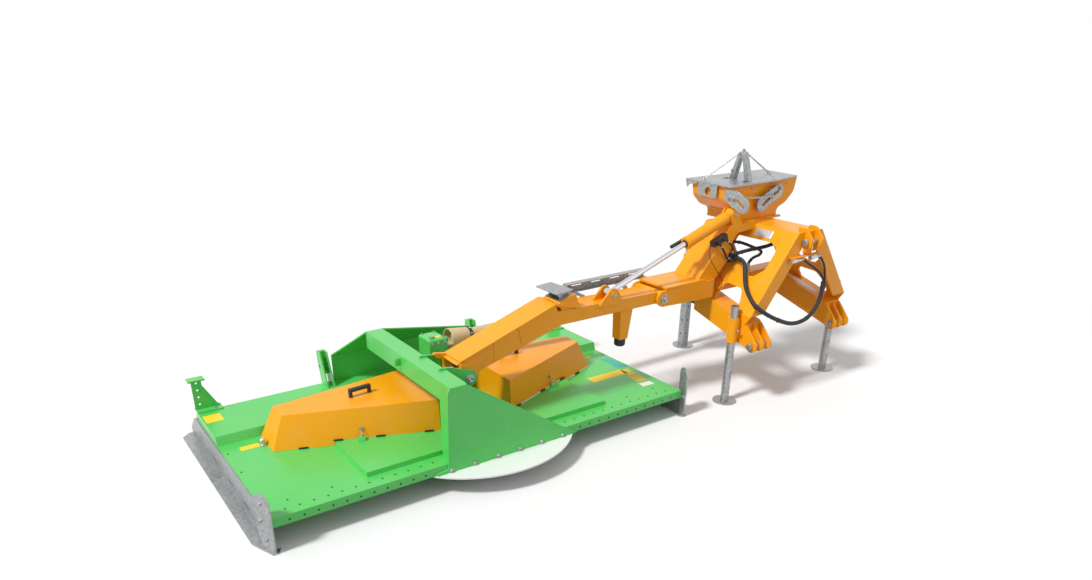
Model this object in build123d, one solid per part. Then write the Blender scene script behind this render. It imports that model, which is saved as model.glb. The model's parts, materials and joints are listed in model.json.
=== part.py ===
from build123d import *
import os
from math import hypot, radians, tan

# Side-reach rotary mulcher on a three-point headstock, millimetres.
# X runs along the deck towards the headstock, Y runs rearwards, Z is up and the ground is Z = 0.
# Places below are counted from the middle of the deck's front edge, and the last step
# moves the whole machine so that its origin is under the middle of its box.

# Cutting deck
deck_length = 2400
deck_depth = 1160
deck_sheet = 8
deck_lip = 110
deck_front_top = 155
deck_rear_top = 202
deck_step_y = 795
pad_half = 710
pad_front = 100
pad_rear = 790
pad_rise = 25
pad_sheet = 5
skid_sheet = 8
skid_out = 62
skid_front = -32
skid_rear = 1350
skid_slot = 90
skid_horn_top = 285
horn_width = 100
horn_flare = 23
guard_radius = 557
guard_sheet = 8
bolt_pitch = 132.4

# Rotors
rotor_reach = 410
side_rotor_x = 770
side_rotor_y = 700
centre_rotor_y = 375
rotor_plate_radius = 150
rotor_plate = 10
rotor_plate_z = 84
rotor_hub_radius = 45
blade_width = 60
blade_thick = 10

# Portal over the deck and the tilt joint
beam_left = -318
beam_size = 96
beam_top = 548
beam_wall = 8
beam_rear = 915
tilt_x = -93
tilt_z = 472
tilt_pin_radius = 20
ear_sheet = 12
ear_front_y = 196
ear_rear_y = 398
rear_plate_y = deck_depth
corner_top = 371
roller_y = rear_plate_y + 85
roller_z = 75
roller_radius = 75
roller_shaft = 20

# Belt covers
cover_sheet = 4
cover_inner = 215
cover_outer = 988
cover_top_inner = 347
cover_top_outer = 320

# Arm and its pivot
arm_front = 222
arm_width = 150
arm_wall = 8
pivot_x = 1198
pivot_z = 651
pivot_radius = 25
hub_radius = 40
hub_rear = 421
running_gap = 0.1
lift_eye_x = 831
lift_eye_z = 737
lift_y = 253
lift_top_x = 1740
lift_top_z = 1057
barrel_radius = 35
rod_radius = 15
eye_radius = 24
eye_pin = 15
bumper_x = 941
bumper_radius = 32
bumper_top = 450
tray_front = 442
tray_depth = 42
tray_low = 706
tray_top = 756
tray_left = 690
tray_right = 1290

# Headstock
centre_x = 2032
hitch_half = 432
ear_pitch = 60
ear_thick = 14
lower_pin_y = -127
lower_pin_z = 380
lower_pin_radius = 14
top_pin_y = -120
top_pin_z = 934
top_pin_radius = 12.5
link_gap = 38
pin_ease = 0.1
frame_slope = 0.278
frame_depth = 133
frame_front = -60
frame_rear = 342
frame_top = 517
hood_front = -100
hood_rear = 340
hood_top = 987
hood_foot = 548
hood_half_top = 103
hood_sheet = 12
cross_depth = 100
cross_low = 560
cross_top = 640
stem_half = 40
tower_front = 216
tower_rear = 416
tower_sheet = 12
head_front = 296
head_rear = 560
head_top = 1210

# Parking stands
stand_x = 467
stand_y = -10
stand_radius = 24
sleeve_wall = 8
sleeve_low = 383
sleeve_top = 531
stand_top = 600
foot_radius = 70
foot_sheet = 8
rear_stand_y = 824
rear_stand_half = 25

# Drive line
input_z = 493
inlet_z = 418
driveline_y = 700
neck_x = 100
neck_radius = 22
gearbox_face_x = 28
stub_end_x = 61
guard_mouth_x = 72
guard_neck_x = 201
shaft_radius = 17.5
joint_x = 1830
joint_ball = 20
tube_radius = 33
bell_x = 1790

# Hoses, counted as the rest, each a route from its fixed end
bend_share = 0.45
hose_radius = 6.2
sleeve_radius = 12.5
cable_radius = 2
hang_gap = 0.3
valve_y = 214
clamp_left = 1715
clamp_right = 1772
clamp_front = 198
clamp_top = 838
coupling_y = -120
coupling_z = 836
coupling_radius = 13
coupling_left = 1862
coupling_right = 2093
hose_main = [
    (1752, clamp_front, 812), (1752, 146, 812), (1740, 104, 788), (1712, 72, 736), (1672, 24, 684),
    (1630, -56, 642), (1616, -114, 612), (1690, -140, 558), (1802, -145, 502), (1926, -148, 457),
    (2047, -150, 464), (2124, -148, 518), (2170, -142, 594), (2170, -142, 672),
]
hose_upper = [
    (2176.3, -142, 672), (2176.3, -142, 700), (2170, -136, 752), (2156, -129, 792), (2132, -122, 826),
    (2112, coupling_y, coupling_z), (coupling_right, coupling_y, coupling_z),
]
hose_lower = [
    (2163.7, -142, 672), (2163.7, -142, 688), (2146, -136, 722), (2106, -128, 756), (2060, -122, 784),
    (2012, -120, 811), (1970, coupling_y, coupling_z), (1941, coupling_y, coupling_z),
]
bundle_low = [
    (clamp_right, 222, 824), (1800, 222, 824), (1842, 206, 834), (1892, 196, 840), (1946, 178, 846),
    (1994, 152, 858), (2028, 122, 886), (2040, 105, 925), (2040, 105, 955),
]
bundle_high = [
    (1752, 300, 868), (1792, 300, 868), (1845, 280, 878), (1902, 262, 860), (1962, 250, 834),
    (2026, 248, 810), (2080, 268, 782), (2106, 312, 748), (2113, 352, 728), (2114, 378, 704),
    (2112, 390, 680), (2112, 390, 656),
]
valve_upper = [
    (1656, 184, 924), (1684, 184, 901.25), (1710, 191, 884), (1727, 200, 870), (1735, 206, 852),
    (1735, 206, clamp_top),
]
valve_lower = [
    (1604, 184, 903), (1628.5, 184, 875), (1649, 186, 852), (1668, 193, 831), (1686, 202, 816),
    (1700, 207, 809), (clamp_left, 207, 809),
]
cable_route = [
    (1562.9, 206, 909.8), (1542.2, 206, 902.5), (1527, 198, 874), (1536, 190, 828), (1572, 184, 780),
    (1612, 181, 734), (1642, 179, 694), (1642, 178, 656), (1616, 178, 634), (1588, 181, 656),
    (1598, 185, 696), (1636, 189, 728), (1668, 198, 768), (1692, 207, 792), (clamp_left, 207, 792),
]


def prism(points, move):
    return Solid.extrude(Face(Wire.make_polygon([Vector(*p) for p in points], close=True)), Vector(*move))


def along_y(points, low, high):
    # outline as (x, z)
    return prism([(x, low, z) for x, z in points], (0, high - low, 0))


def along_x(points, low, high):
    # outline as (y, z)
    return prism([(low, y, z) for y, z in points], (high - low, 0, 0))


def along_z(points, low, high):
    # outline as (x, y)
    return prism([(x, y, low) for x, y in points], (0, 0, high - low))


def block(x, y, z):
    # each of x, y and z as (low, high)
    return Pos(x[0], y[0], z[0]) * Box(
        x[1] - x[0], y[1] - y[0], z[1] - z[0], align=(Align.MIN, Align.MIN, Align.MIN)
    )


def bar(start, end, radius):
    run = Vector(*end) - Vector(*start)
    return Solid.make_cylinder(radius, run.length, Plane(origin=start, z_dir=run))


def pin_y(x, z, low, high, radius):
    return bar((x, low, z), (x, high, z), radius)


def pin_x(y, z, low, high, radius):
    return bar((low, y, z), (high, y, z), radius)


def tube_z(x, y, low, high, radius, hole=0):
    solid = bar((x, y, low), (x, y, high), radius)
    if hole:
        solid -= bar((x, y, low), (x, y, high), hole)
    return solid


def mirrored(shape):
    # the headstock's other half
    return shape.mirror(Plane.YZ.offset(centre_x))


def hull_plate(circles, low, high):
    # plate across Y whose outline wraps round circles given as (x, z, radius)
    outline = make_hull([Pos(x, z) * edge for x, z, r in circles for edge in Circle(r).edges()])
    plate = extrude(outline, amount=high - low)
    return Pos(0, high, 0) * Rot(90, 0, 0) * plate


def hull_plate_x(circles, low, high):
    # plate across X whose outline wraps round circles given as (y, z, radius)
    outline = make_hull([Pos(y, z) * edge for y, z, r in circles for edge in Circle(r).edges()])
    plate = extrude(outline, amount=high - low)
    return Pos(low, 0, 0) * Rot(0, 0, 90) * Rot(90, 0, 0) * plate


def sheet(points, low, high, across):
    # flat piece from an outline of (u, v, corner radius), cut across the named axis from low to high
    face = Face(Wire.make_polygon([Vector(u, v) for u, v, _ in points], close=True))
    for u, v, corner in points:
        if corner:
            face = face.fillet_2d(corner, [face.vertices().sort_by_distance((u, v, 0))[0]])
    plane, way = {
        "x": (Plane(origin=(low, 0, 0), x_dir=(0, 1, 0), z_dir=(1, 0, 0)), (1, 0, 0)),
        "y": (Plane(origin=(0, low, 0), x_dir=(1, 0, 0), z_dir=(0, -1, 0)), (0, 1, 0)),
        "z": (Plane(origin=(0, 0, low)), (0, 0, 1)),
    }[across]
    return Solid.extrude(plane.location * face, Vector(*way) * (high - low))


def hose(name, points, radius):
    # round tube along a bent path, each bend as wide as its shorter run allows
    corners = [Vector(*p) for p in points]
    bends = []
    for before, here, after in zip(corners, corners[1:], corners[2:]):
        run = min((here - before).length, (after - here).length)
        half_turn = radians((here - before).get_angle(after - here)) / 2
        bends.append(bend_share * run / tan(half_turn))
    print(name, "bend radii", *[round(b) for b in bends])
    path = FilletPolyline(*corners, radius=bends)
    return sweep(Plane(origin=path @ 0, z_dir=path % 0) * Circle(radius), path).solid()


def rotor_centres():
    return {"left": (-side_rotor_x, side_rotor_y), "centre": (0, centre_rotor_y),
            "right": (side_rotor_x, side_rotor_y)}


def deck_shell():
    t = deck_sheet
    low, front, rear, step = deck_lip, deck_front_top, deck_rear_top, deck_step_y
    half = deck_length / 2
    outer = [(0, low), (0, front), (step, front), (step + 15, rear), (deck_depth, rear), (deck_depth, low)]
    inner = [
        (t, low), (t, front - t), (step + t, front - t), (step + 15 + t, rear - t),
        (deck_depth - t, rear - t), (deck_depth - t, low),
    ]
    shell = along_x(outer, -half, half) - along_x(inner, -half + t, half - t)
    for x, y in rotor_centres().values():
        shell -= tube_z(x, y, low, rear + 1, rotor_hub_radius + running_gap)
    return shell


def deck_pad():
    low, high = deck_front_top, deck_front_top + pad_rise
    pad = block((-pad_half, pad_half), (pad_front, pad_rear), (low, high))
    inside = block(
        (-pad_half + pad_sheet, pad_half - pad_sheet),
        (pad_front + pad_sheet, pad_rear - pad_sheet),
        (low, high - pad_sheet),
    )
    pad -= inside
    return pad - tube_z(0, centre_rotor_y, low, high, rotor_hub_radius + running_gap)


def skid():
    # right-hand end: upright sheet, sole turned outwards with a cropped nose, and the horn at the front
    x0 = deck_length / 2
    x1 = x0 + skid_sheet
    sole_out = x1 + skid_out
    side = sheet(
        [(skid_front, 0, 0), (skid_front, 118, 40), (60, 150, 0), (deck_depth + 60, 150, 60),
         (skid_rear, 40, 30),
         (skid_rear, 0, 0)], x0, x1, "x")
    for y in (300, 560, 820):
        side -= block((x0, x1), (y, y + skid_slot), (42, 52))
    sole = sheet(
        [(x0 - 26, skid_front + 26, 0), (x0 - 8, skid_front - 6, 12), (x1 + 10, skid_front - 6, 12),
         (sole_out, 96, 40),
         (sole_out, skid_rear - 40, 20), (x1 + 20, skid_rear, 20), (x0, skid_rear, 0),
         (x0, skid_front + 26, 0)],
        0, skid_sheet, "z")
    horn = sheet(
        [(0, 0, 0), (0, skid_horn_top, horn_width / 2 - 1), (horn_width, skid_horn_top, horn_width / 2 - 1),
         (horn_width, 120, 30), (horn_width - 30, 0, 0)], 0, skid_sheet, "x")
    horn = Pos(x0, skid_front, 0) * Rot(0, 0, -horn_flare) * horn
    return side + sole + horn


def guard_plate():
    disc = tube_z(0, centre_rotor_y, deck_lip - guard_sheet, deck_lip, guard_radius)
    return disc & block((-guard_radius, guard_radius), (-300, deck_sheet), (0, deck_lip))


def front_gusset():
    left, right, foot = beam_left - 12, 342, 428
    plate = along_y(
        [(-401, deck_lip), (foot, deck_lip), (foot, 122), (right, 167), (beam_left + beam_size - 8, beam_top),
         (beam_left, beam_top), (left, beam_top - 28), (left - 12, 130), (-401, 122)],
        -ear_sheet, 0,
    )
    for i in range(6):
        plate -= pin_y(-328 + i * bolt_pitch, 122, -ear_sheet, 0, 6)
    return plate


def tilt_ear(low, high):
    edge = beam_left + beam_size
    ear = hull_plate([(tilt_x, tilt_z, 44), (edge + 26, beam_top - 26, 26), (edge + 22, tilt_z - 14, 22)],
                     low, high)
    lap = hull_plate([(edge - 30, beam_top + 6, 6), (edge + 40, beam_top - 4, 6),
                      (edge + 6, beam_top - 4, 6)], low, high)
    ear = ear + lap
    ear -= block((beam_left, edge), (low, high), (beam_top - beam_size, beam_top))
    return ear - pin_y(tilt_x, tilt_z, low, high, tilt_pin_radius)


def portal_beam():
    x = (beam_left, beam_left + beam_size)
    z = (beam_top - beam_size, beam_top)
    w = beam_wall
    beam = block(x, (0, beam_rear), z) + block(x, (0, 94), (deck_front_top, z[0]))
    beam -= block((x[0] + w, x[1] - w), (w, beam_rear), (z[0] + w, z[1] - w))
    beam -= block((x[0] + w, x[1] - w), (w, 94 - w), (deck_front_top, z[0] + w))
    beam += tilt_ear(ear_front_y, ear_front_y + ear_sheet)
    beam += tilt_ear(ear_rear_y, ear_rear_y + ear_sheet)
    return beam


def rear_gusset():
    # plate that runs from the end of the beam down and back to the deck's rear edge
    x0, x1 = beam_left, beam_left + beam_size
    top = [(x0, beam_rear, beam_top), (x1, beam_rear, beam_top)]
    knee = [(460, rear_plate_y, 360), (-439, rear_plate_y, 360)]
    lean = Vector(0, -(beam_top - 360), -(rear_plate_y - beam_rear)).normalized() * beam_wall
    slope = prism(top + knee, (0, lean.Y, lean.Z))
    wall = along_y([(-439, deck_rear_top), (460, deck_rear_top), (460, 360), (-439, 360)],
                   rear_plate_y - beam_wall, rear_plate_y)
    return (slope + wall) & block((-500, 500), (beam_rear, rear_plate_y), (deck_rear_top, beam_top))


def rear_brackets():
    pieces = []
    for low, high in ((-509, -463), (463, 509)):
        plates = along_x([(rear_plate_y - 90, deck_rear_top), (rear_plate_y, deck_rear_top),
                          (rear_plate_y + 36, 340),
                          (rear_plate_y + 36, 389), (rear_plate_y - 14, 389)], low, high)
        plates -= block((low + 8, high - 8), (0, rear_plate_y + 12), (deck_rear_top, 400))
        pieces.append(plates - pin_x(rear_plate_y + 5, 300, low, high, 11))
    return pieces + [corner_bracket(side) for side in (-1, 1)]


def cover_block(grow):
    # wedge between the two belt pulleys, widest and highest at the middle of the deck
    inner, outer, low = cover_inner + grow, cover_outer - grow, deck_front_top
    base = [(-outer, 592 + grow, low), (-inner, 290 + grow, low), (-inner, 785 - grow, low),
            (-outer, 785 - grow, low)]
    top = [
        (-outer + 72, 621 + grow, cover_top_outer - grow), (-inner, 304 + grow, cover_top_inner - grow),
        (-inner, 770 - grow, cover_top_inner - grow), (-outer + 72, 751 - grow, cover_top_outer - grow),
    ]
    wires = [Wire.make_polygon([Vector(*p) for p in loop], close=True) for loop in (base, top)]
    return Solid.make_loft(wires, ruled=True)


def cover_left():
    lid = cover_block(0) - cover_block(cover_sheet)
    return lid - block((-pad_half - 1, pad_half), (pad_front - 1, pad_rear + 1),
                       (0, deck_front_top + pad_rise))


def deck_gearbox():
    body = block((-77, gearbox_face_x), (driveline_y - 65, driveline_y + 65), (425, 528))
    body = chamfer(body.edges().group_by(Axis.Z)[-1], 8)
    foot = along_z([(-110, 610), (110, 610), (110, 780), (-110, 780)], deck_front_top + pad_rise, 300)
    neck = tube_z(-18, driveline_y, 300, 425, 55)
    stub = pin_x(driveline_y, input_z, gearbox_face_x, stub_end_x, shaft_radius)
    cap = tube_z(-46, driveline_y - 30, 528, 540, 15)
    return body + foot + neck + stub + cap


def rotor(x, y):
    hub_top = deck_front_top + 20
    disc = tube_z(x, y, rotor_plate_z, rotor_plate_z + rotor_plate, rotor_plate_radius)
    disc += tube_z(x, y, rotor_plate_z - 12, hub_top, rotor_hub_radius)
    for k in range(3):
        blade = block((90, rotor_reach), (-blade_width / 2, blade_width / 2),
                      (rotor_plate_z - blade_thick, rotor_plate_z))
        disc += Pos(x, y, 0) * Rot(0, 0, 30 + 120 * k) * blade
    return disc


def roller():
    end = deck_length / 2 - 7
    reach = deck_length / 2 - 30
    return (pin_x(roller_y, roller_z, -reach, reach, roller_radius)
            + pin_x(roller_y, roller_z, -end, end, roller_shaft))


def arm_side():
    # side outline of the incline and of the level run to the pivot, as (x, z)
    incline = [(-150, 545), (452, 742), (492, 628), (-45, 478)]
    level = [(452, 706), (pivot_x - 38, pivot_z + 40), (pivot_x - 38, pivot_z - 26), (492, 628)]
    rear = arm_front + arm_width
    return along_y(incline, arm_front, rear) + along_y(level, arm_front, rear)


def arm_beam():
    rear = arm_front + arm_width
    beam = arm_side()
    beam -= along_y([(-60, 550), (440, 715), (470, 645), (-30, 505)], arm_front + arm_wall, rear - arm_wall)
    # top plates wider than the box, with the joint strap where the two runs meet
    beam += prism([(-128, arm_front - 6, 552), (-128, rear + 6, 552), (452, rear + 6, 742),
                   (452, arm_front - 6, 742)],
                  (-3, 0, 8))
    beam += along_y([(418, 740), (448, 750), (612, 712), (606, 700), (452, 736)], arm_front - 4, rear + 4)
    # riser that carries the galvanised plate at the bend
    beam += along_y([(470, 735), (482, 750), (551, 776), (586, 776), (606, 706), (500, 700)], arm_front + 4,
                    rear - 4)
    beam += pin_y(pivot_x, pivot_z, arm_front - 7, hub_rear, hub_radius)
    for low, high in ((arm_front - 8, arm_front + 16), (rear - 16, rear + 20)):
        beam += hull_plate([(tilt_x, tilt_z, 42), (-100, 515, 36), (-40, 512, 30)], low, high)
    beam += sheet([(-207, 576, 6), (-186, 548, 10), (-120, 522, 0), (-31, 505, 0), (-40, 545, 0)],
                  rear - 16, rear + 2, "y")
    for y, low, high in ((lift_y - 43, -6, 12), (lift_y + 31, 0, 18)):
        beam += hull_plate([(lift_eye_x, lift_eye_z, 34), (lift_eye_x - 80, 690, 12),
                            (lift_eye_x + 58, 690, 12)], y, y + 12)
        beam += pin_y(lift_eye_x, lift_eye_z, y + low, y + high, eye_pin)
    # two seams where the sheets are lapped
    for x0, z0, x1, z1 in ((240, 577, 218, 672), (1085, 636, 1088, 694)):
        beam += prism([(x0 - 5, arm_front - 3, z0), (x0 + 5, arm_front - 3, z0), (x1 + 5, arm_front - 3, z1),
                       (x1 - 5, arm_front - 3, z1)], (0, 6, 0))
    beam += along_y([(908, 640), (1000, 640), (bumper_x + bumper_radius - 4, bumper_top),
                     (bumper_x - bumper_radius + 4, bumper_top)],
                    235, 300)
    beam -= pin_y(pivot_x, pivot_z, arm_front - 8, hub_rear + 1, pivot_radius + running_gap)
    return beam - pin_y(tilt_x, tilt_z, 180, 420, tilt_pin_radius + running_gap)


def hose_tray():
    # channel behind the arm, open to the front, that ends past the pivot behind the root
    y0, y1, z0, z1, t = tray_front, tray_front + tray_depth, tray_low, tray_top, 3
    tray = block((tray_left, tray_right), (y0, y1), (z0, z1)) - block(
        (tray_left + t, tray_right + t), (y0 - t, y1 - t), (z0 + t, z1 - t))
    for i in range(4):
        slot = tray_left + 60 + i * 140
        tray -= block((slot, slot + 70), (y1 - t, y1), (z0 + 24, z0 + 30))
    for x in (tray_left + 40, 1040):
        tray += block((x, x + 30), (arm_front + arm_width, y0 + 20), (z0 - 6, z0))
        tray += block((x, x + 30), (arm_front + arm_width, arm_front + arm_width + 6), (z0 - 46, z0 - 6))
    return tray


def lift_axis():
    run = Vector(lift_eye_x - lift_top_x, 0, lift_eye_z - lift_top_z)
    return Vector(lift_top_x, lift_y, lift_top_z), run.normalized(), run.length


def lift_barrel():
    top, way, _ = lift_axis()
    start = top + way * 48
    end = top + way * 375
    body = bar(tuple(start), tuple(end), barrel_radius)
    body += bar(tuple(top + way * 18), tuple(start), 20)
    body += pin_y(lift_top_x, lift_top_z, lift_y - 24, lift_y + 24, 32)
    bore_from = top + way * 62
    body -= bar(tuple(bore_from), tuple(end), rod_radius + running_gap)
    return body - pin_y(lift_top_x, lift_top_z, lift_y - 24, lift_y + 24, eye_pin + running_gap)


def lift_rod():
    top, way, span = lift_axis()
    start = top + way * 330
    end = top + way * (span - eye_radius * 0.7)
    rod = bar(tuple(start), tuple(end), rod_radius)
    return rod + pin_y(lift_eye_x, lift_eye_z, lift_y - 25, lift_y + 25, eye_radius)


def beam_outline(inset):
    # side of a lower beam as (y, z)
    rise = (frame_rear - frame_front) * frame_slope
    low, top = frame_top - 16 - frame_depth + inset, frame_top - 16 - inset
    return [(frame_front, top), (frame_rear, top + rise), (frame_rear, low + rise), (frame_front, low)]


def frame_beam():
    # left lower beam: box, three-eared clevis and the sleeve of its stand
    x0, x1 = centre_x - hitch_half, centre_x - hitch_half + 2 * ear_pitch + ear_thick
    low = frame_front
    w = beam_wall
    beam = along_x(beam_outline(0), x0, x1) - along_x(beam_outline(w), x0 + w, x1 - w)
    beam += along_x([(low - 10, frame_top - 22), (low, frame_top - 16), (low, frame_top - 16 - frame_depth),
                     (low - 10, frame_top - 20 - frame_depth)], x0, x1)
    for i in range(3):
        x = x0 + i * ear_pitch
        ear = hull_plate_x([(lower_pin_y, lower_pin_z, 38), (low - 14, frame_top - 38, 10),
                            (low - 14, frame_top - 16 - frame_depth + 10, 10)], x, x + ear_thick)
        beam += ear
        beam -= pin_x(lower_pin_y, lower_pin_z, x, x + ear_thick, lower_pin_radius)
    x = centre_x - stand_x
    outer = stand_radius + sleeve_wall
    beam += tube_z(x, stand_y, sleeve_low, sleeve_top, outer)
    beam += block((x, x0), (stand_y - 20, stand_y + 20), (sleeve_low + 20, sleeve_top - 20))
    return beam - tube_z(x, stand_y, sleeve_low, sleeve_top, stand_radius + 0.5)


def stand():
    x = centre_x - stand_x
    return (tube_z(x, stand_y, 0, stand_top, stand_radius, stand_radius - 4)
            + tube_z(x, stand_y, 0, foot_sheet, foot_radius))


def rear_frame():
    x0, x1 = centre_x - hitch_half, centre_x + hitch_half
    y0, y1 = frame_rear, frame_rear + cross_depth
    w = beam_wall
    beam = block((x0, x1), (y0, y1), (cross_low, cross_top)) - block(
        (x0 + w, x1 - w), (y0 + w, y1 - w), (cross_low + w, cross_top - w))
    s = stem_half
    half = rear_stand_half + sleeve_wall
    stem = block((centre_x - s, centre_x + s), (y1, rear_stand_y - half), (cross_low, cross_top))
    stem += block((centre_x - half, centre_x + half), (rear_stand_y - half, rear_stand_y + half),
                  (360, cross_top + 20))
    tip = rear_stand_half + 0.5
    return beam + stem - block((centre_x - tip, centre_x + tip), (rear_stand_y - tip, rear_stand_y + tip),
                               (300, 700))


def rear_stand():
    s = rear_stand_half
    x, y = (centre_x - s, centre_x + s), (rear_stand_y - s, rear_stand_y + s)
    tube = block(x, y, (0, 700)) - block((x[0] + 4, x[1] - 4), (y[0] + 4, y[1] - 4), (foot_sheet, 700))
    return tube + tube_z(centre_x, rear_stand_y, 0, foot_sheet, foot_radius)


def hood_line(inset):
    # half outline of the A-frame's bent sheet, from the foot to the middle of the top, as (x, z)
    run = hitch_half - hood_half_top
    rise = hood_top - hood_foot
    length = hypot(run, rise)
    foot_x = centre_x - hitch_half
    shift = inset * length / rise
    corner = centre_x - hood_half_top + inset * (length - run) / rise
    return [(foot_x + shift, hood_foot), (corner, hood_top - inset)]


def both_sides(line):
    # a half outline carried on round the headstock's other half
    return line + [(2 * centre_x - x, z) for x, z in reversed(line)]


def hood_solid():
    outer, inner, deep = [both_sides(hood_line(d)) for d in (0, hood_sheet, 90)]
    hood = along_y(outer + inner[::-1], hood_front, hood_rear)
    return hood + along_y(outer + deep[::-1], hood_front, hood_front + hood_sheet)


def a_frame():
    hood = hood_solid()
    foot = centre_x - hitch_half
    cuts = sheet(side_window(), foot, centre_x - 30, "x") + sheet(lower_opening(), foot - 50, foot + 120, "x")
    hood -= cuts
    hood -= mirrored(cuts)
    # webs down to the lower beams
    web = along_x([(hood_front, hood_foot), (frame_front - 10, frame_top - 16), (frame_front, frame_top - 16),
                   (frame_front + (hood_foot - frame_top + 16) / frame_slope, hood_foot)], foot,
                   foot + hood_sheet)
    web -= sheet(lower_opening(), foot - 1, foot + hood_sheet + 1, "x")
    beam = along_x(beam_outline(0), foot, foot + 2 * ear_pitch + ear_thick)
    ears = along_x([(-200, 300), (frame_front, 300), (frame_front, frame_top - 16), (-200, frame_top - 16)],
                   foot, foot + 140)
    half = web - ears
    # shelf that the hose couplings hang under, and its neck from the front flange
    shelf = coupling_z + coupling_radius + hang_gap
    rack = block((coupling_left + 6, coupling_right + 18), (hood_front - 24, hood_front + 6),
                 (shelf, shelf + 5))
    rack += block((centre_x - 34, centre_x + 34), (hood_front, hood_front + 6), (shelf, hood_top - 85))
    return (hood + half + mirrored(half) + rack) - beam - mirrored(beam)


def top_link_bracket():
    plates = []
    for side in (-1, 1):
        x = centre_x + side * (link_gap + 7)
        plate = hull_plate_x([(top_pin_y, top_pin_z, 38), (-96, 998, 12), (-60, 1000, 10), (-90, 870, 10)],
                             x - 7, x + 7)
        plate -= block((x - 8, x + 8), (hood_front, 200), (700, hood_top))
        plates.append(plate - pin_x(top_pin_y, top_pin_z, x - 7, x + 7, top_pin_radius))
    return plates


def hitch_pins():
    left = centre_x - hitch_half
    right = left + 2 * ear_pitch + ear_thick
    lower = pin_x(lower_pin_y, lower_pin_z, left - 12, right + 12, lower_pin_radius - pin_ease)
    upper = pin_x(top_pin_y, top_pin_z, centre_x - link_gap - 30, centre_x + link_gap + 30,
                  top_pin_radius - pin_ease)
    return [lower, mirrored(lower), upper]


def tower():
    front, rear, t = tower_front, tower_rear, tower_sheet
    inside = [(1490, 640, 0), (1490, 704, 0), (1622, 860, 60), (1664, 925, 30), (1706, 966, 0),
              (1760, 966, 0), (1724, 908, 30),
              (1715, 817, 60), (1594, 690, 0), (1584, 640, 0)]
    column = tower_shape() - sheet(inside, front + t, rear - t, "y")
    for y in (front, lift_y + 33):
        column += hull_plate([(lift_top_x, lift_top_z, 32), (1734, 990, 10), (1800, 988, 10)], y, y + 10)
    column -= block((1000, 2600), (0, frame_rear + cross_depth), (0, cross_top))
    column -= block((1846, 2300), (head_front - 20, head_rear), (985, 1100))
    column = column - hood_solid()
    return column + pin_y(lift_top_x, lift_top_z, front, lift_y + 43, eye_pin)


def head_body():
    # funnel that widens upwards to carry the top plate
    body = sheet(head_outline(0), head_front, head_rear, "y") - sheet(
        head_outline(12), head_front + 12, head_rear - 12, "y")
    collar = sheet([(1846, 985, 0), (1846, 997, 4), (2218, 997, 4), (2218, 985, 0)], head_front - 20,
                   head_front, "y")
    return body + collar - hood_solid()


def head_plate():
    top = sheet([(1697, 247, 6), (2128, 258, 0), (2357, 300, 6), (2365, 580, 6), (1700, 605, 6)], head_top,
                head_top + 8, "z")
    # feet slots of the hoop
    for y in (322, 471):
        top -= block((1890, 1932), (y - 18, y + 18), (head_top, head_top + 8))
    fold = along_x([(505, head_top), (603, head_top), (590, head_top - 40), (575, head_top - 22),
                    (520, head_top - 12)], 1700, 1706)
    fold += along_x([(303, head_top), (560, head_top), (548, head_top - 44), (520, head_top - 24),
                     (330, head_top - 18)], 2353, 2359)
    # upright with the round hole, hung from the left edge
    hanger = sheet([(345, head_top, 0), (350, 1136, 8), (490, 1134, 8), (498, head_top, 0)], 1700, 1705, "x")
    return top + fold + hanger - pin_x(417, 1168, 1700, 1705, 24)


def head_hoop():
    # two tapered legs bridged at the top, with the knob that the stay wires run from
    top = head_top + 8
    x = 1952
    low, high, mid = 320, 473, 396.5
    outline = [(low, top, 0), (low + 34, top, 0), (mid - 12, 1338, 10), (mid + 12, 1338, 10),
               (high - 34, top, 0),
               (high, top, 0), (mid + 22, 1376, 16), (mid - 22, 1376, 16)]
    return sheet(outline, x - 17, x + 17, "x") + tube_z(x, mid, 1370, 1392, 8)


def cam_plates():
    # slotted locking cams, the left one across X and the right one across Y, and the rod between them
    left = cam([(292, 1168, 30), (215, 1150, 48), (150, 1122, 44)], [(258, 1142), (205, 1152), (150, 1116)],
               10, 1712, 1720,
               hull_plate_x)
    left -= block((1700, 1730), (head_front, 400), (1100, 1210))
    left += pin_x(218, 1150, 1700, 1732, 12)
    right = cam([(2150, 1146, 42), (2090, 1122, 40), (2018, 1083, 46)],
                [(2150, 1148), (2085, 1120), (2025, 1080)], 10, 262, 270,
                hull_plate)
    right += pin_y(2088, 1122, 252, head_front, 16) + pin_y(2165, 1165, 256, head_front, 9)
    rod = bar((1718, 214, 1151), (2088, 258, 1122), 6)
    return [left + right + rod]


def root_fork():
    plates = []
    for y in (200, 422):
        plate = hull_plate([(pivot_x, pivot_z, 46), (1500, 692, 10), (1500, 604, 10)], y, y + 14)
        plate += block((1490, 1600 if y < 300 else 1590), (y, y + 14), (594, 700))
        plates.append(plate - pin_y(pivot_x, pivot_z, y, y + 14, pivot_radius))
    deck = block((1216, 1520), (200, 436), (700, 712))
    fork = plates[0] + plates[1] + deck
    fork += block((1508, 1520), (214, 422), (594, 700))
    return fork - tower_shape()


def drive_gearbox():
    body = block((1900, 2100), (600, 760), (inlet_z - 34, cross_low))
    out = pin_x(driveline_y, input_z, joint_x + joint_ball + 0.3, 1900, shaft_radius)
    inlet = bar((centre_x, 600, inlet_z), (centre_x, 500, inlet_z), shaft_radius)
    return body + out + inlet


def pto_guard():
    bell = pin_x(driveline_y, input_z, bell_x, 1900, 78) - pin_x(driveline_y, input_z, bell_x, 1896, 74)
    return bell - pin_x(driveline_y, input_z, bell_x, 1900, shaft_radius + running_gap)


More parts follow.
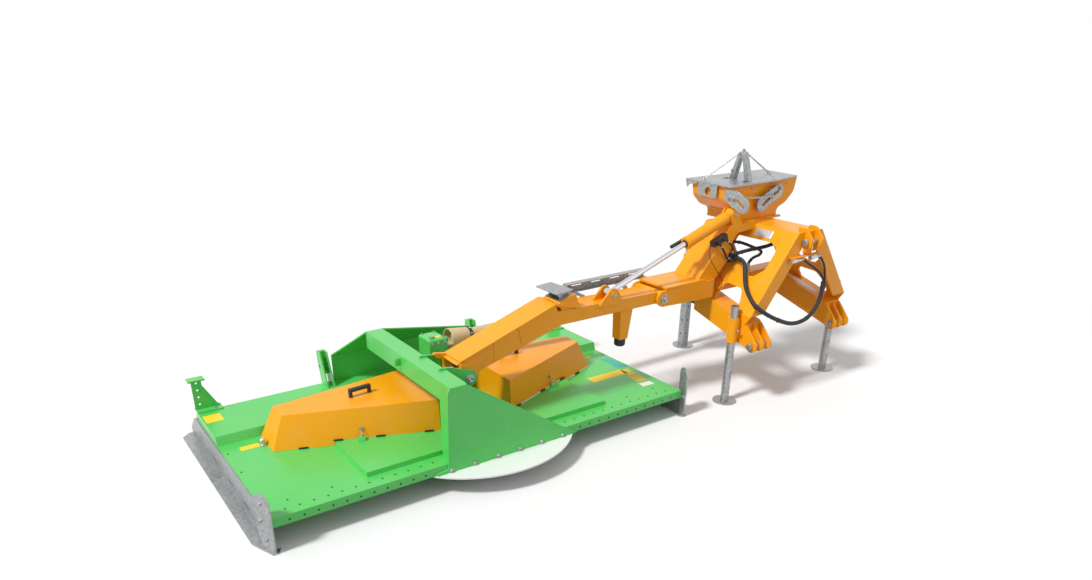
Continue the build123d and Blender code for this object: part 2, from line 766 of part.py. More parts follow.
def driveline_tube():
    tube = pin_x(driveline_y, input_z, guard_neck_x, bell_x + 12, tube_radius)
    tube += pin_x(driveline_y, input_z, neck_x, guard_neck_x, neck_radius)
    tube += pin_x(driveline_y, input_z, bell_x + 12, joint_x, shaft_radius - 2)
    ball = Pos(joint_x, driveline_y, input_z) * Sphere(joint_ball)
    return tube + ball + pin_y(joint_x, input_z, driveline_y - joint_ball - 6, driveline_y + joint_ball + 6,
                               8)


def driveline_guard():
    length = guard_neck_x - guard_mouth_x
    mouth = Plane(origin=(guard_mouth_x, driveline_y, input_z), z_dir=(1, 0, 0))
    hollow = Solid.make_cone(52, 36, length - 4, mouth)
    hollow += pin_x(driveline_y, input_z, guard_neck_x - 11, guard_neck_x, neck_radius + running_gap)
    return Solid.make_cone(57, 40, length, mouth) - hollow


def corner_bracket(side):
    # upright at a rear corner: holed web, cap on top, rib towards the middle of the deck, arm of the roller
    x = side * (deck_length / 2 - 12)
    y, top = rear_plate_y + 20, corner_top
    web = block(sorted((x - side * 40, x + side * 12)), (y - 4, y + 4), (deck_rear_top, top))
    for z in (235, 275, 315, 355):
        web -= pin_y(x - side * 14, z, y - 4, y + 4, 6)
    cap = block(sorted((x - side * 56, x + side * 29)), (y - 25, y + 30), (top, top + 8))
    rib = prism([(x - side * 40, y - 4, deck_rear_top), (x - side * 114, y - 4, deck_rear_top),
                 (x - side * 40, y - 4, 340)], (0, 8, 0))
    foot = block(sorted((x - side * 120, x + side * 12)), (rear_plate_y - 30, y + 30),
                 (deck_rear_top, deck_rear_top + 6))
    arm = hull_plate_x([(roller_y, roller_z, 36), (rear_plate_y + 14, 194, 14), (rear_plate_y + 14, 130, 14)],
                       x - 6, x + 6)
    arm -= pin_x(roller_y, roller_z, x - 6, x + 6, roller_shaft + running_gap)
    return web + cap + rib + foot + arm


def bumper():
    foot = tube_z(bumper_x, 267, bumper_top - 45, bumper_top, bumper_radius)
    return fillet(foot.edges().group_by(Axis.Z)[0], 14)


def bend_plate():
    # galvanised sheet on a folded bracket over the bend of the arm
    t, front, rear = 5, arm_front + 14, arm_front + arm_width - 14
    base = prism([(482, front, 750), (482, rear, 750), (551, rear, 776), (551, front, 776)], (-1.8, 0, t))
    upright = along_y([(500, 758), (551, 778), (566, 797), (474, 797)], front + 20, front + 20 + t)
    upright += along_y([(500, 758), (551, 778), (566, 797), (474, 797)], rear - 20 - t, rear - 20)
    top = sheet([(446, 400, 8), (450, 222, 8), (576, 238, 8), (560, 420, 8)], 797, 797 + t, "z")
    return base + upright + top


def lower_opening():
    # cut-out near the foot of each slope, as (y, z)
    return [(24, 480, 0), (24, 600, 24), (60, 664, 30), (182, 672, 30), (206, 640, 20), (206, 480, 0)]


def side_window():
    # window of each slope, as (y, z)
    return [(300, 912, 14), (46, 914, 40), (-17, 890, 34), (-17, 780, 40), (50, 724, 50), (131, 748, 30),
            (300, 862, 14)]


def head_outline(inset):
    # half funnel from the neck to the top plate, carried on round the other half, as (x, z, corner radius)
    left = [(1868 + inset, 985, 0), (1868 + inset, 1036 + inset, 30), (1790 + inset, 1068 + inset, 60),
            (1728 + inset, 1126, 60), (1712 + inset, 1210, 0)]
    return left + [(2 * centre_x - x, z, corner) for x, z, corner in reversed(left)]


def cam(lobes, slot, radius, low, high, plate):
    shape = plate(lobes[:2], low, high)
    for pair in zip(lobes[1:], lobes[2:]):
        shape += plate(list(pair), low, high)
    for a, b in zip(slot, slot[1:]):
        shape -= plate([(*a, radius), (*b, radius)], low - 1, high + 1)
    return shape


def valve_block():
    # load-holding valve under the cylinder with its two elbows, and the block that clamps the hoses
    # to the tower
    top, way, _ = lift_axis()
    down = Vector(-way.Z, 0, way.X)
    middle = top + way * 160 + down * 80 + Vector(0, valve_y - lift_y, 0)
    valve = Plane(origin=middle, x_dir=way, z_dir=(0, -1, 0)) * Box(112, 34, 36)
    face = valve_y - 18
    for start, end in ((valve_upper[0], (1640, 937)), (valve_lower[0], (1590, 919))):
        valve += pin_y(end[0], end[1], start[1] - 8, face, 8)
        valve += bar((end[0], start[1], end[1]), start, 8)
    clamp = block((clamp_left, clamp_right), (clamp_front, 262), (785, clamp_top))
    tap = pin_x(300, 868, 1700, bundle_high[0][0], 13)
    shape = tower_shape()
    return [valve - shape, clamp - shape, tap - shape]


def couplings():
    # quick couplings parked under the shelf of the headstock, and the union on the cross beam
    pieces = []
    for left, end in ((coupling_left, hose_lower[-1][0]), (2032, coupling_right)):
        y, z, step = coupling_y, coupling_z, left + (end - left) * 0.6
        pieces.append(pin_x(y, z, left, step, coupling_radius) + pin_x(y, z, step, end, 9))
    return pieces


def tower_shape():
    # leaning box between the root of the arm and the head, outline as (x, z, corner radius)
    outline = [
        (1476, 640, 0), (1476, 709, 0), (1611, 867, 60), (1650, 930, 40), (1700, 984, 10), (1712, 1000, 0),
        (1800, 1000, 0),
        (1940, 1000, 0), (1915, 958, 0), (1775, 950, 40), (1736, 905, 40), (1727, 813, 60), (1606, 684, 0),
        (1596, 640, 0),
    ]
    return sheet(outline, tower_front, tower_rear, "y")


def unions():
    # sockets where the two bundles end: under the top sheet and on the cross beam
    low, high = bundle_low[-1], bundle_high[-1]
    return [tube_z(low[0], low[1], low[2], hood_top - hood_sheet, 15),
            tube_z(high[0], high[1], cross_top, high[2], 13)]


def build():
    parts = {
        "deck_shell": deck_shell(), "deck_pad": deck_pad(), "skid_right": skid(),
        "skid_left": skid().mirror(Plane.YZ),
        "guard_plate": guard_plate(), "front_gusset": front_gusset(), "portal_beam": portal_beam(),
        "rear_gusset": rear_gusset(), "rear_brackets": rear_brackets(),
        "tilt_pin": pin_y(tilt_x, tilt_z, ear_front_y - 8, ear_rear_y + ear_sheet + 8, tilt_pin_radius),
        "cover_left": cover_left(), "cover_right": cover_left().mirror(Plane.YZ),
        "deck_gearbox": deck_gearbox(),
        "roller": roller(), "arm_beam": arm_beam(), "hose_tray": hose_tray(),
        "bend_plate": bend_plate(), "bumper": bumper(), "lift_barrel": lift_barrel(), "lift_rod": lift_rod(),
        "driveline_tube": driveline_tube(), "driveline_guard": driveline_guard(),
        "frame_beam_left": frame_beam(), "frame_beam_right": mirrored(frame_beam()),
        "stand_left": stand(), "stand_right": mirrored(stand()), "stand_rear": rear_stand(),
        "rear_frame": rear_frame(), "a_frame": a_frame(), "top_link_bracket": top_link_bracket(),
        "hitch_pins": hitch_pins(), "tower": tower(), "head_body": head_body(), "head_plate": head_plate(),
        "head_hoop": head_hoop(), "cam_plates": cam_plates(), "root_fork": root_fork(),
        "root_pin": pin_y(pivot_x, pivot_z, 192, 444, pivot_radius),
        "drive_gearbox": drive_gearbox(), "pto_guard": pto_guard(), "valve_block": valve_block(),
        "couplings": couplings(), "unions": unions(),
    }
    hoses = (
        ("hose_main", hose_main, sleeve_radius), ("hose_upper", hose_upper, hose_radius),
        ("hose_lower", hose_lower, hose_radius), ("bundle_low", bundle_low, 11),
        ("bundle_high", bundle_high, 9),
        ("valve_hose_upper", valve_upper, 6), ("valve_hose_lower", valve_lower, 6),
        ("sensor_cable", cable_route, cable_radius),
    )
    for name, route, radius in hoses:
        parts[name] = hose(name, route, radius)
    for name, (x, y) in rotor_centres().items():
        parts["rotor_" + name] = rotor(x, y)
    return parts


def write(parts):
    os.makedirs("parts", exist_ok=True)
    boxes = [s.bounding_box() for p in parts.values() for s in (p if isinstance(p, list) else [p])]
    origin_x = (min(b.min.X for b in boxes) + max(b.max.X for b in boxes)) / 2
    origin_y = (min(b.min.Y for b in boxes) + max(b.max.Y for b in boxes)) / 2
    print(f"origin {origin_x:.3f} {origin_y:.3f}")
    for name, piece in parts.items():
        solids = [s for p in (piece if isinstance(piece, list) else [piece]) for s in p.solids()]
        shape = solids[0] if len(solids) == 1 else Compound(children=solids)
        export_step(Pos(-origin_x, -origin_y, 0) * shape, f"parts/{name}.step")


write(build())
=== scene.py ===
import json
import math
import bpy
from mathutils import Matrix, Vector


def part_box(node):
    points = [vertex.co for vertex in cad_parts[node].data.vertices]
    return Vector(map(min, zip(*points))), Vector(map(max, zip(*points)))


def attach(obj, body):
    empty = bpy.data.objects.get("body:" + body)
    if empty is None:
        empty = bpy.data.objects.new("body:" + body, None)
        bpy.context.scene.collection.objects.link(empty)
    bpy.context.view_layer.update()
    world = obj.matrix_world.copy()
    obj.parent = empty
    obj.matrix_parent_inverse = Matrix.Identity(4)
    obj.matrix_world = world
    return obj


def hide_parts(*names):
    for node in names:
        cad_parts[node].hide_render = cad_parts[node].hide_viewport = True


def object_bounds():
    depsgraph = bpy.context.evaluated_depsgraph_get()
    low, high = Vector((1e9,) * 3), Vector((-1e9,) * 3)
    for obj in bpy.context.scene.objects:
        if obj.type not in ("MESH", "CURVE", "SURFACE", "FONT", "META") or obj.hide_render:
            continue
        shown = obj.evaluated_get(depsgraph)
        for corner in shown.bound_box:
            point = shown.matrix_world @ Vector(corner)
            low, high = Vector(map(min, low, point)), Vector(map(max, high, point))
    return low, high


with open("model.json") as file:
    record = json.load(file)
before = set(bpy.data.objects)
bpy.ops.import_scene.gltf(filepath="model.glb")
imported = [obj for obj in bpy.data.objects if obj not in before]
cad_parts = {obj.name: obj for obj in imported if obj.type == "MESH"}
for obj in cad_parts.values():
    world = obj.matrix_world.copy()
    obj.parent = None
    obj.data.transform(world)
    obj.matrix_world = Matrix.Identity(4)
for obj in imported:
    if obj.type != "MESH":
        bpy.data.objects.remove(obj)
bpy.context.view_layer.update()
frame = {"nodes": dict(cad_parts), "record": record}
nodes = frame["nodes"]
print("frame loaded,", len(nodes), "pieces")

# places are counted in metres from the middle of the deck's front edge on the ground
deckLow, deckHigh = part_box("deck_shell")
deckMiddle, deckFront = (deckLow.x + deckHigh.x) / 2, deckLow.y


def place(x, y, z):
    return Vector((deckMiddle + x, deckFront + y, z))


view = {
    "stand": (-1.9086, -2.9497, 2.0178),
    "azimuth": -34.72,
    "elevation": 26.06,
    "roll": 0.22,
    "lens": 26.19,
    "shiftX": 0.0148,
    "shiftY": 0.1184,
}


def addCamera():
    turn, tip, roll = (math.radians(view[k]) for k in ("azimuth", "elevation", "roll"))
    forward = Vector((-math.sin(turn) * math.cos(tip), math.cos(turn) * math.cos(tip), -math.sin(tip)))
    level = Vector((math.cos(turn), math.sin(turn), 0))
    upright = level.cross(forward)
    right = level * math.cos(roll) + upright * math.sin(roll)
    up = upright * math.cos(roll) - level * math.sin(roll)
    lens = bpy.data.cameras.new("camera")
    lens.lens, lens.shift_x, lens.shift_y = view["lens"], view["shiftX"], view["shiftY"]
    camera = bpy.data.objects.new("camera", lens)
    facing = Matrix((right, up, -forward)).transposed().to_4x4()
    camera.matrix_world = Matrix.Translation(place(*view["stand"])) @ facing
    bpy.context.collection.objects.link(camera)
    bpy.context.scene.camera = camera


# each hose and cable, with the route that its tube takes, in metres
hoses = {
    "hoseMain": {
        "node": "hose_main", "radius": 0.0125, "length": 1.12,
        "stiffness": "medium", "farEnd": "fitting",
        "route": [
            (1.752, 0.198, 0.812), (1.752, 0.146, 0.812), (1.740, 0.104, 0.788), (1.712, 0.072, 0.736),
            (1.672, 0.024, 0.684), (1.630, -0.056, 0.642), (1.616, -0.114, 0.612), (1.690, -0.140, 0.558),
            (1.802, -0.145, 0.502), (1.926, -0.148, 0.457), (2.047, -0.150, 0.464), (2.124, -0.148, 0.518),
            (2.170, -0.142, 0.594), (2.170, -0.142, 0.672),
        ],
    },
    "hoseUpper": {
        "node": "hose_upper", "radius": 0.0062, "length": 0.206,
        "stiffness": "medium", "farEnd": "connector",
        "route": [
            (2.1763, -0.142, 0.672), (2.1763, -0.142, 0.700), (2.170, -0.136, 0.752), (2.156, -0.129, 0.792),
            (2.132, -0.122, 0.826), (2.112, -0.120, 0.836), (2.093, -0.120, 0.836),
        ],
    },
    "hoseLower": {
        "node": "hose_lower", "radius": 0.0062, "length": 0.294,
        "stiffness": "medium", "farEnd": "connector",
        "route": [
            (2.1637, -0.142, 0.672), (2.1637, -0.142, 0.688), (2.146, -0.136, 0.722), (2.106, -0.128, 0.756),
            (2.060, -0.122, 0.784), (2.012, -0.120, 0.811), (1.970, -0.120, 0.836), (1.941, -0.120, 0.836),
        ],
    },
    "bundleLow": {
        "node": "bundle_low", "radius": 0.011, "length": 0.363,
        "stiffness": "stiff", "farEnd": "object",
        "route": [
            (1.772, 0.222, 0.824), (1.800, 0.222, 0.824), (1.842, 0.206, 0.834), (1.892, 0.196, 0.840),
            (1.946, 0.178, 0.846), (1.994, 0.152, 0.858), (2.028, 0.122, 0.886), (2.040, 0.105, 0.925),
            (2.040, 0.105, 0.955),
        ],
    },
    "bundleHigh": {
        "node": "bundle_high", "radius": 0.009, "length": 0.546,
        "stiffness": "medium", "farEnd": "object",
        "route": [
            (1.752, 0.300, 0.868), (1.792, 0.300, 0.868), (1.845, 0.280, 0.878), (1.902, 0.262, 0.860),
            (1.962, 0.250, 0.834), (2.026, 0.248, 0.810), (2.080, 0.268, 0.782), (2.106, 0.312, 0.748),
            (2.113, 0.352, 0.728), (2.114, 0.378, 0.704), (2.112, 0.390, 0.680), (2.112, 0.390, 0.656),
        ],
    },
    "valveHoseUpper": {
        "node": "valve_hose_upper", "radius": 0.006, "length": 0.125,
        "stiffness": "stiff", "farEnd": "object",
        "route": [
            (1.656, 0.184, 0.924), (1.684, 0.184, 0.9012), (1.710, 0.191, 0.884), (1.727, 0.200, 0.870),
            (1.735, 0.206, 0.852), (1.735, 0.206, 0.838),
        ],
    },
    "valveHoseLower": {
        "node": "valve_hose_lower", "radius": 0.006, "length": 0.153,
        "stiffness": "stiff", "farEnd": "object",
        "route": [
            (1.604, 0.184, 0.903), (1.6285, 0.184, 0.875), (1.649, 0.186, 0.852), (1.668, 0.193, 0.831),
            (1.686, 0.202, 0.816), (1.700, 0.207, 0.809), (1.715, 0.207, 0.809),
        ],
    },
    "sensorCable": {
        "node": "sensor_cable", "radius": 0.002, "length": 0.566,
        "stiffness": "medium", "farEnd": "object",
        "route": [
            (1.5629, 0.206, 0.9098), (1.5422, 0.206, 0.9025), (1.527, 0.198, 0.874), (1.536, 0.190, 0.828),
            (1.572, 0.184, 0.780), (1.612, 0.181, 0.734), (1.642, 0.179, 0.694), (1.642, 0.178, 0.656),
            (1.616, 0.178, 0.634), (1.588, 0.181, 0.656), (1.598, 0.185, 0.696), (1.636, 0.189, 0.728),
            (1.668, 0.198, 0.768), (1.692, 0.207, 0.792), (1.715, 0.207, 0.792),
        ],
    },
}


def smoothLine(name, route, radius=0.0):
    curve = bpy.data.curves.new(name, "CURVE")
    curve.dimensions = "3D"
    curve.resolution_u, curve.bevel_depth, curve.bevel_resolution = 10, radius, 4
    curve.use_fill_caps = True
    spline = curve.splines.new("NURBS")
    spline.points.add(len(route) - 1)
    for point, spot in zip(spline.points, route):
        point.co = (*place(*spot), 1)
    spline.order_u, spline.use_endpoint_u = 3, True
    line = bpy.data.objects.new(name, curve)
    bpy.context.collection.objects.link(line)
    return line


def pathOf(route):  # the points along the middle of a hose
    line = smoothLine("middle", route)
    mesh = bpy.data.meshes.new_from_object(line)
    points = [v.co.copy() for v in mesh.vertices]
    bpy.data.objects.remove(line)
    bpy.data.meshes.remove(mesh)
    return points


def addHoses():
    for name, hose in hoses.items():
        piece = smoothLine(name, hose["route"], hose["radius"])
        slotName = "cable_sheath" if name == "sensorCable" else "rubber"
        piece.data.materials.append(finishes[slotName])
        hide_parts(hose["node"])
        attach(piece, "headstock")
        place(*hose["route"][0])
        2 * hose["radius"]
    print(len(hoses), "hoses hung")


class Value:  # a socket in a material, with ordinary arithmetic
    def __init__(self, shader, socket):
        self.shader, self.socket = shader, socket

    def maths(self, operation, first, second):
        return self.shader.node("Math", {"operation": operation}, {0: first, 1: second})

    def __add__(self, other):
        return self.maths("ADD", self, other)

    def __radd__(self, other):
        return self.maths("ADD", other, self)

    def __mul__(self, other):
        return self.maths("MULTIPLY", self, other)

    def __rmul__(self, other):
        return self.maths("MULTIPLY", other, self)


class Shader:
    def __init__(self, name):
        self.material = bpy.data.materials.new(name)
        self.material.use_nodes = True
        self.tree = self.material.node_tree
        self.surface = self.tree.nodes["Principled BSDF"]
        self.spot = self.node("TexCoord", {}, {}, "Object")

    def node(self, kind, settings, sockets, output=0):
        made = self.tree.nodes.new("ShaderNode" + kind)
        for key, value in settings.items():
            setattr(made, key, value)
        for key, value in sockets.items():
            if isinstance(value, Value):
                self.tree.links.new(value.socket, made.inputs[key])
            else:
                made.inputs[key].default_value = value
        return Value(self, made.outputs[output])

    def set(self, **values):
        for key, value in values.items():
            socket = self.surface.inputs[key.replace("_", " ")]
            if isinstance(value, Value):
                self.tree.links.new(value.socket, socket)
            else:
                socket.default_value = value

    def noise(self, scale, detail=3, rough=0.55):
        sockets = {"Vector": self.spot, "Scale": scale, "Detail": detail, "Roughness": rough}
        return self.node("TexNoise", {}, sockets)

    def crystals(self, scale):
        return self.node("TexVoronoi", {}, {"Vector": self.spot, "Scale": scale}, "Color")

    def range(self, value, low, high, start=0.0, end=1.0):
        return self.node("MapRange", {}, {0: value, 1: low, 2: high, 3: start, 4: end})

    def veil(self, scale, detail, rough, low, high):  # noise that is 0 up to low and 1 from high on
        return self.range(self.noise(scale, detail, rough), low, high)

    def blend(self, share, first, second):
        return self.node("Mix", {"data_type": "RGBA"}, {0: share, 6: first, 7: second}, 2)

    def bump(self, height, depth, soft=0.0):  # soft is how far the light rounds a sharp edge
        sockets = {"Height": height, "Distance": depth}
        if soft:
            sockets["Normal"] = self.node("Bevel", {"samples": 5}, {"Radius": soft})
        self.set(Normal=self.node("Bump", {}, sockets))


def colour(red, green, blue):  # 0 to 255 as seen on a screen
    shades = [c / 255 / 12.92 if c < 10 else ((c / 255 + 0.055) / 1.055) ** 2.4 for c in (red, green, blue)]
    return (*shades, 1)


enamel = {
    # veil: (scale, detail, roughness, low, high)
    "cloud": (1.6, 4, 0.55, 0.35, 0.7),
    "dust": (14, 6, 0.7, 0.52, 0.78),
    "scuff": (55, 3, 0.6, 0.66, 0.72),
    "cloudShare": 0.35, "dustShare": 0.09, "scuffShare": 0.4,
    "dustTone": (0.62, 0.58, 0.5, 1), "scuffTone": (0.3, 0.27, 0.22, 1), "dustRough": 0.2,
    "peel": 260, "peelDepth": 0.00012, "scuffHeight": 0.6, "rounding": 0.0030,
}


def paint(name, tone, worn, rough, coat):  # sprayed enamel with dust and small scuffs
    s = Shader(name)
    cloud, dust, scuff = (s.veil(*enamel[kind]) for kind in ("cloud", "dust", "scuff"))
    faded = s.blend(cloud * enamel["cloudShare"], tone, worn)
    dusty = s.blend(dust * enamel["dustShare"], faded, enamel["dustTone"])
    s.set(Base_Color=s.blend(scuff * dust * enamel["scuffShare"], dusty, enamel["scuffTone"]))
    s.set(Roughness=s.range(dust, 0, 1, rough, rough + enamel["dustRough"]), Specular_IOR_Level=0.3)
    s.set(Coat_Weight=coat, Coat_Roughness=0.18)
    height = s.noise(enamel["peel"], 2) + scuff * enamel["scuffHeight"]
    s.bump(height, enamel["peelDepth"], enamel["rounding"])
    return s.material


galvanising = {
    "streak": (5, 5, 0.6), "crystalShare": 0.45, "streakShare": 0.55,
    "smoother": 0.06, "rougher": 0.10, "grain": 70, "depth": 0.0002, "rounding": 0.0016,
}


def zinc(name, dark, pale, rough, spangle=85):  # hot-dip galvanised sheet with its crystals
    s = Shader(name)
    grey = s.node("SeparateColor", {}, {0: s.crystals(spangle)})
    streak = s.noise(*galvanising["streak"])
    share = grey * galvanising["crystalShare"] + streak * galvanising["streakShare"]
    s.set(Base_Color=s.blend(share, dark, pale), Metallic=0.78)
    smooth, coarse = rough - galvanising["smoother"], rough + galvanising["rougher"]
    s.set(Roughness=s.range(grey * 0.5 + streak * 0.5, 0.2, 0.8, smooth, coarse))
    s.bump(s.noise(galvanising["grain"], 3), galvanising["depth"], galvanising["rounding"])
    return s.material


stuff = {"cloud": (6, 5, 0.65, 0.3, 0.75), "paler": (1.6, 0.04), "cloudRough": 0.14}


def plain(name, tone, rough, metal=0.0, grain=90, depth=0.0002, wear=0.25):  # moulded, turned or cast stuff
    s = Shader(name)
    cloud = s.veil(*stuff["cloud"])
    times, plus = stuff["paler"]
    pale = tuple(min(1, c * times + plus) for c in tone[:3]) + (1,)
    s.set(Base_Color=s.blend(cloud * wear, tone, pale), Metallic=metal)
    s.set(Roughness=s.range(cloud, 0, 1, rough, rough + stuff["cloudRough"]))
    s.bump(s.noise(grain, 3), depth)
    return s.material


def film(name, tone, rough=0.42, metal=0.0, grain=40, wear=0.12):  # face of a sticker or a plate
    return plain(name, tone, rough, metal, grain, 0.00005, wear)


finishes = {
    "green_paint": paint("greenPaint", colour(80, 196, 88), colour(104, 210, 110), rough=0.34, coat=0.4),
    "orange_paint": paint("orangePaint", colour(245, 158, 6), colour(251, 174, 22), rough=0.36, coat=0.12),
    "galvanised": zinc("galvanised", colour(130, 132, 134), colour(194, 196, 197), rough=0.36),
    "steel": zinc("millSteel", colour(104, 104, 106), colour(152, 151, 150), rough=0.46, spangle=160),
    "plated": plain("platedSteel", colour(196, 196, 192), 0.26, metal=0.9, grain=60, depth=0.00004, wear=0.1),
    "chrome": plain("chromedRod", colour(205, 207, 210), 0.12, metal=1.0, grain=30, depth=0.00002, wear=0.1),
    "rubber": plain("blackRubber", colour(30, 30, 32), 0.62),
    "black_plastic": plain("blackPlastic", colour(34, 34, 36), 0.45),
    "white_plastic": plain("whitePlastic", colour(232, 234, 232), 0.4, grain=60, depth=0.0003, wear=0.1),
    "beige_plastic": plain("beigePlastic", colour(206, 186, 140), 0.5),
    "cable_sheath": plain("cableSheath", colour(26, 24, 26), 0.5, grain=300, depth=0.00003),
    # this black finish also serves as painted shade inside the deck holes and the stand tube holes
    "black_paint": paint("blackPaintAndHoleShade", colour(36, 37, 39), colour(52, 53, 54), rough=0.45, coat=0.2),
}

films = {
    "yellow": film("yellowFilm", colour(243, 208, 40)),
    "teal": film("tealFilm", colour(70, 176, 158)),
    "pale": film("paleFilm", colour(236, 226, 222), wear=0.1),
    "silver": film("silverFilm", colour(206, 208, 210), 0.34, metal=0.35, grain=60, wear=0.1),
}

# pieces whose surface differs from the rest of their kind
special = {"couplings": "plated", "root_pin": "plated", "unions": "plated", "driveline_tube": "beige_plastic"}

for row in frame["record"]["subparts"]:
    mesh = nodes[row["node"]].data
    mesh.materials.clear()
    mesh.materials.append(finishes[special.get(row["node"], row["material_slot"])])
print("finishes on the frame")


def clear():
    bpy.ops.object.select_all(action="DESELECT")


def edit(piece):
    clear()
    piece.select_set(True)
    bpy.context.view_layer.objects.active = piece
    bpy.ops.object.mode_set(mode="EDIT")
    bpy.ops.mesh.select_mode(type="FACE")


def pick(piece, wanted):  # the faces whose middle and normal pass
    bpy.ops.mesh.select_all(action="DESELECT")
    bpy.ops.object.mode_set(mode="OBJECT")
    for face in piece.data.polygons:
        face.select = wanted(face.center, face.normal)
    bpy.ops.object.mode_set(mode="EDIT")


def extrude(x, y, z):
    bpy.ops.mesh.extrude_region_move(TRANSFORM_OT_translate={"value": (x, y, z)})


def done(piece, edge=0.0, turns=2):  # closes the edit, and rounds the sharp edges where asked
    bpy.ops.object.mode_set(mode="OBJECT")
    if edge:
        rounding = piece.modifiers.new("rounding", "BEVEL")
        rounding.width, rounding.segments, rounding.limit_method = edge, turns, "ANGLE"
        bpy.ops.object.modifier_apply(modifier=rounding.name)
    return piece


smoothAngle = 38  # degrees up to which two faces are shaded as one


def settle(piece, name, body, slotName, finish=None):
    clear()
    piece.select_set(True)
    bpy.context.view_layer.objects.active = piece
    bpy.ops.object.transform_apply(location=True, rotation=True, scale=True)
    bpy.ops.object.shade_smooth_by_angle(angle=math.radians(smoothAngle))
    piece.name = piece.data.name = name
    piece.data.materials.clear()
    piece.data.materials.append(finish or finishes[slotName])
    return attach(piece, body)


def scatter(master, name, body, slotName, spots, finish=None):  # one copy at each (place, facing, turn)
    made = []
    for where, facing, turn in spots:
        one = bpy.data.objects.new(name + "Copy", master.data.copy())
        bpy.context.collection.objects.link(one)
        towards = Vector(facing).to_track_quat("Z", "Y").to_matrix().to_4x4()
        spin = Matrix.Rotation(math.radians(turn), 4, "Z")
        size = Matrix.Diagonal((*master.scale, 1))
        one.matrix_world = Matrix.Translation(place(*where)) @ towards @ spin @ size
        made.append(one)
    clear()
    for one in made:
        one.select_set(True)
    bpy.context.view_layer.objects.active = made[0]
    if len(made) > 1:
        bpy.ops.object.join()
    return settle(made[0], name, body, slotName, finish)


def drop(master):
    mesh = master.data
    bpy.data.objects.remove(master)
    bpy.data.meshes.remove(mesh)


def turned(profile, sides):  # a turned piece, from rings of (radius, height)
    clear()
    bpy.ops.mesh.primitive_circle_add(vertices=sides, radius=profile[0][0], fill_type="NGON",
                                      location=(0, 0, profile[0][1]))
    piece = bpy.context.object
    bpy.ops.object.transform_apply(location=True)
    edit(piece)
    bpy.ops.mesh.select_all(action="SELECT")
    for (radius, height), (nextRadius, nextHeight) in zip(profile, profile[1:]):
        extrude(0, 0, nextHeight - height)
        share = nextRadius / radius
        bpy.ops.transform.resize(value=(share, share, 1), center_override=(0, 0, nextHeight))
    bpy.ops.mesh.select_all(action="SELECT")
    bpy.ops.mesh.normals_make_consistent(inside=False)
    return done(piece)


def slab(size, edge, turns=2):  # a flat cut piece standing on z = 0, its edges broken
    clear()
    bpy.ops.mesh.primitive_cube_add(size=1, location=(0, 0, size[2] / 2))
    piece = bpy.context.object
    piece.scale = size
    bpy.ops.object.transform_apply(location=True, scale=True)
    edit(piece)
    return done(piece, edge, turns)


bolt = {
    "across": 0.0092, "head": 0.0072, "washer": 0.0135, "washerThick": 0.0022,
    "bevel": 0.94, "rim": 0.16, "rimHigh": 0.0006, "dishRim": 0.2, "dish": 0.0009,
}


def hexBolt(share):
    high, wide = bolt["washerThick"] * share, bolt["washer"] * share
    narrow = wide * bolt["bevel"]
    piece = turned([(narrow, 0), (wide, high * 0.3), (wide, high * 0.7), (narrow, high)], 18)
    edit(piece)
    bpy.ops.mesh.select_all(action="DESELECT")
    bpy.ops.mesh.primitive_cylinder_add(vertices=6, radius=bolt["across"] * share, depth=bolt["head"] * share,
                                        location=(0, 0, high + bolt["head"] * share / 2))
    top = high + bolt["head"] * share
    pick(piece, lambda middle, normal: normal.z > 0.9 and middle.z > top - 0.0002)
    bpy.ops.mesh.inset(thickness=bolt["across"] * share * bolt["rim"], depth=bolt["rimHigh"] * share)
    bpy.ops.mesh.inset(thickness=bolt["across"] * share * bolt["dishRim"], depth=-bolt["dish"] * share)
    return done(piece)


dome = ((0.0115, 0), (0.0115, 0.0016), (0.0098, 0.0020), (0.0092, 0.0048), (0.0074, 0.0074), (0.0040, 0.0090))


def domeCap(share=1.0):  # pale round cap over a bolt
    return turned([(radius * share, height * share) for radius, height in dome], 20)


holes = {
    "pitch": 0.0657, "half": 17, "radius": 0.0052,
    "lipHigh": 0.130, "topDeep": 0.051, "deckTop": 0.155,
    "lipGap": (-0.43, 0.45), "topGap": (-0.34, -0.20),  # no hole of the row between these
    "corners": ((1.083, 0.118), (0.879, 0.110), (1.178, 0.475), (1.178, 0.691)),
    "rings": ((1, 0), (1, 0.0006), (0.82, 0.0009), (0.74, 0.0002)),  # share of the radius, height
}


def outside(x, gap):
    return not gap[0] < x < gap[1]


def addDeckHoles():
    lip, top = [], []
    for step in range(-holes["half"], holes["half"] + 1):
        x = step * holes["pitch"]
        if outside(x, holes["lipGap"]):
            lip.append(((x, 0, holes["lipHigh"]), (0, -1, 0), 0))
        if outside(x, holes["topGap"]):
            top.append(((x, holes["topDeep"], holes["deckTop"]), (0, 0, 1), 0))
    for side in (-1, 1):
        for x, y in holes["corners"]:
            top.append(((side * x, y, holes["deckTop"]), (0, 0, 1), 0))
    # each hole is drawn by its rim and its sunk floor, both in the black finish: painted shade for the dark
    # inside of the hole
    hole = turned([(holes["radius"] * share, height) for share, height in holes["rings"]], 14)
    scatter(hole, "deckHoles", "deck", "black_paint", lip + top)
    drop(hole)


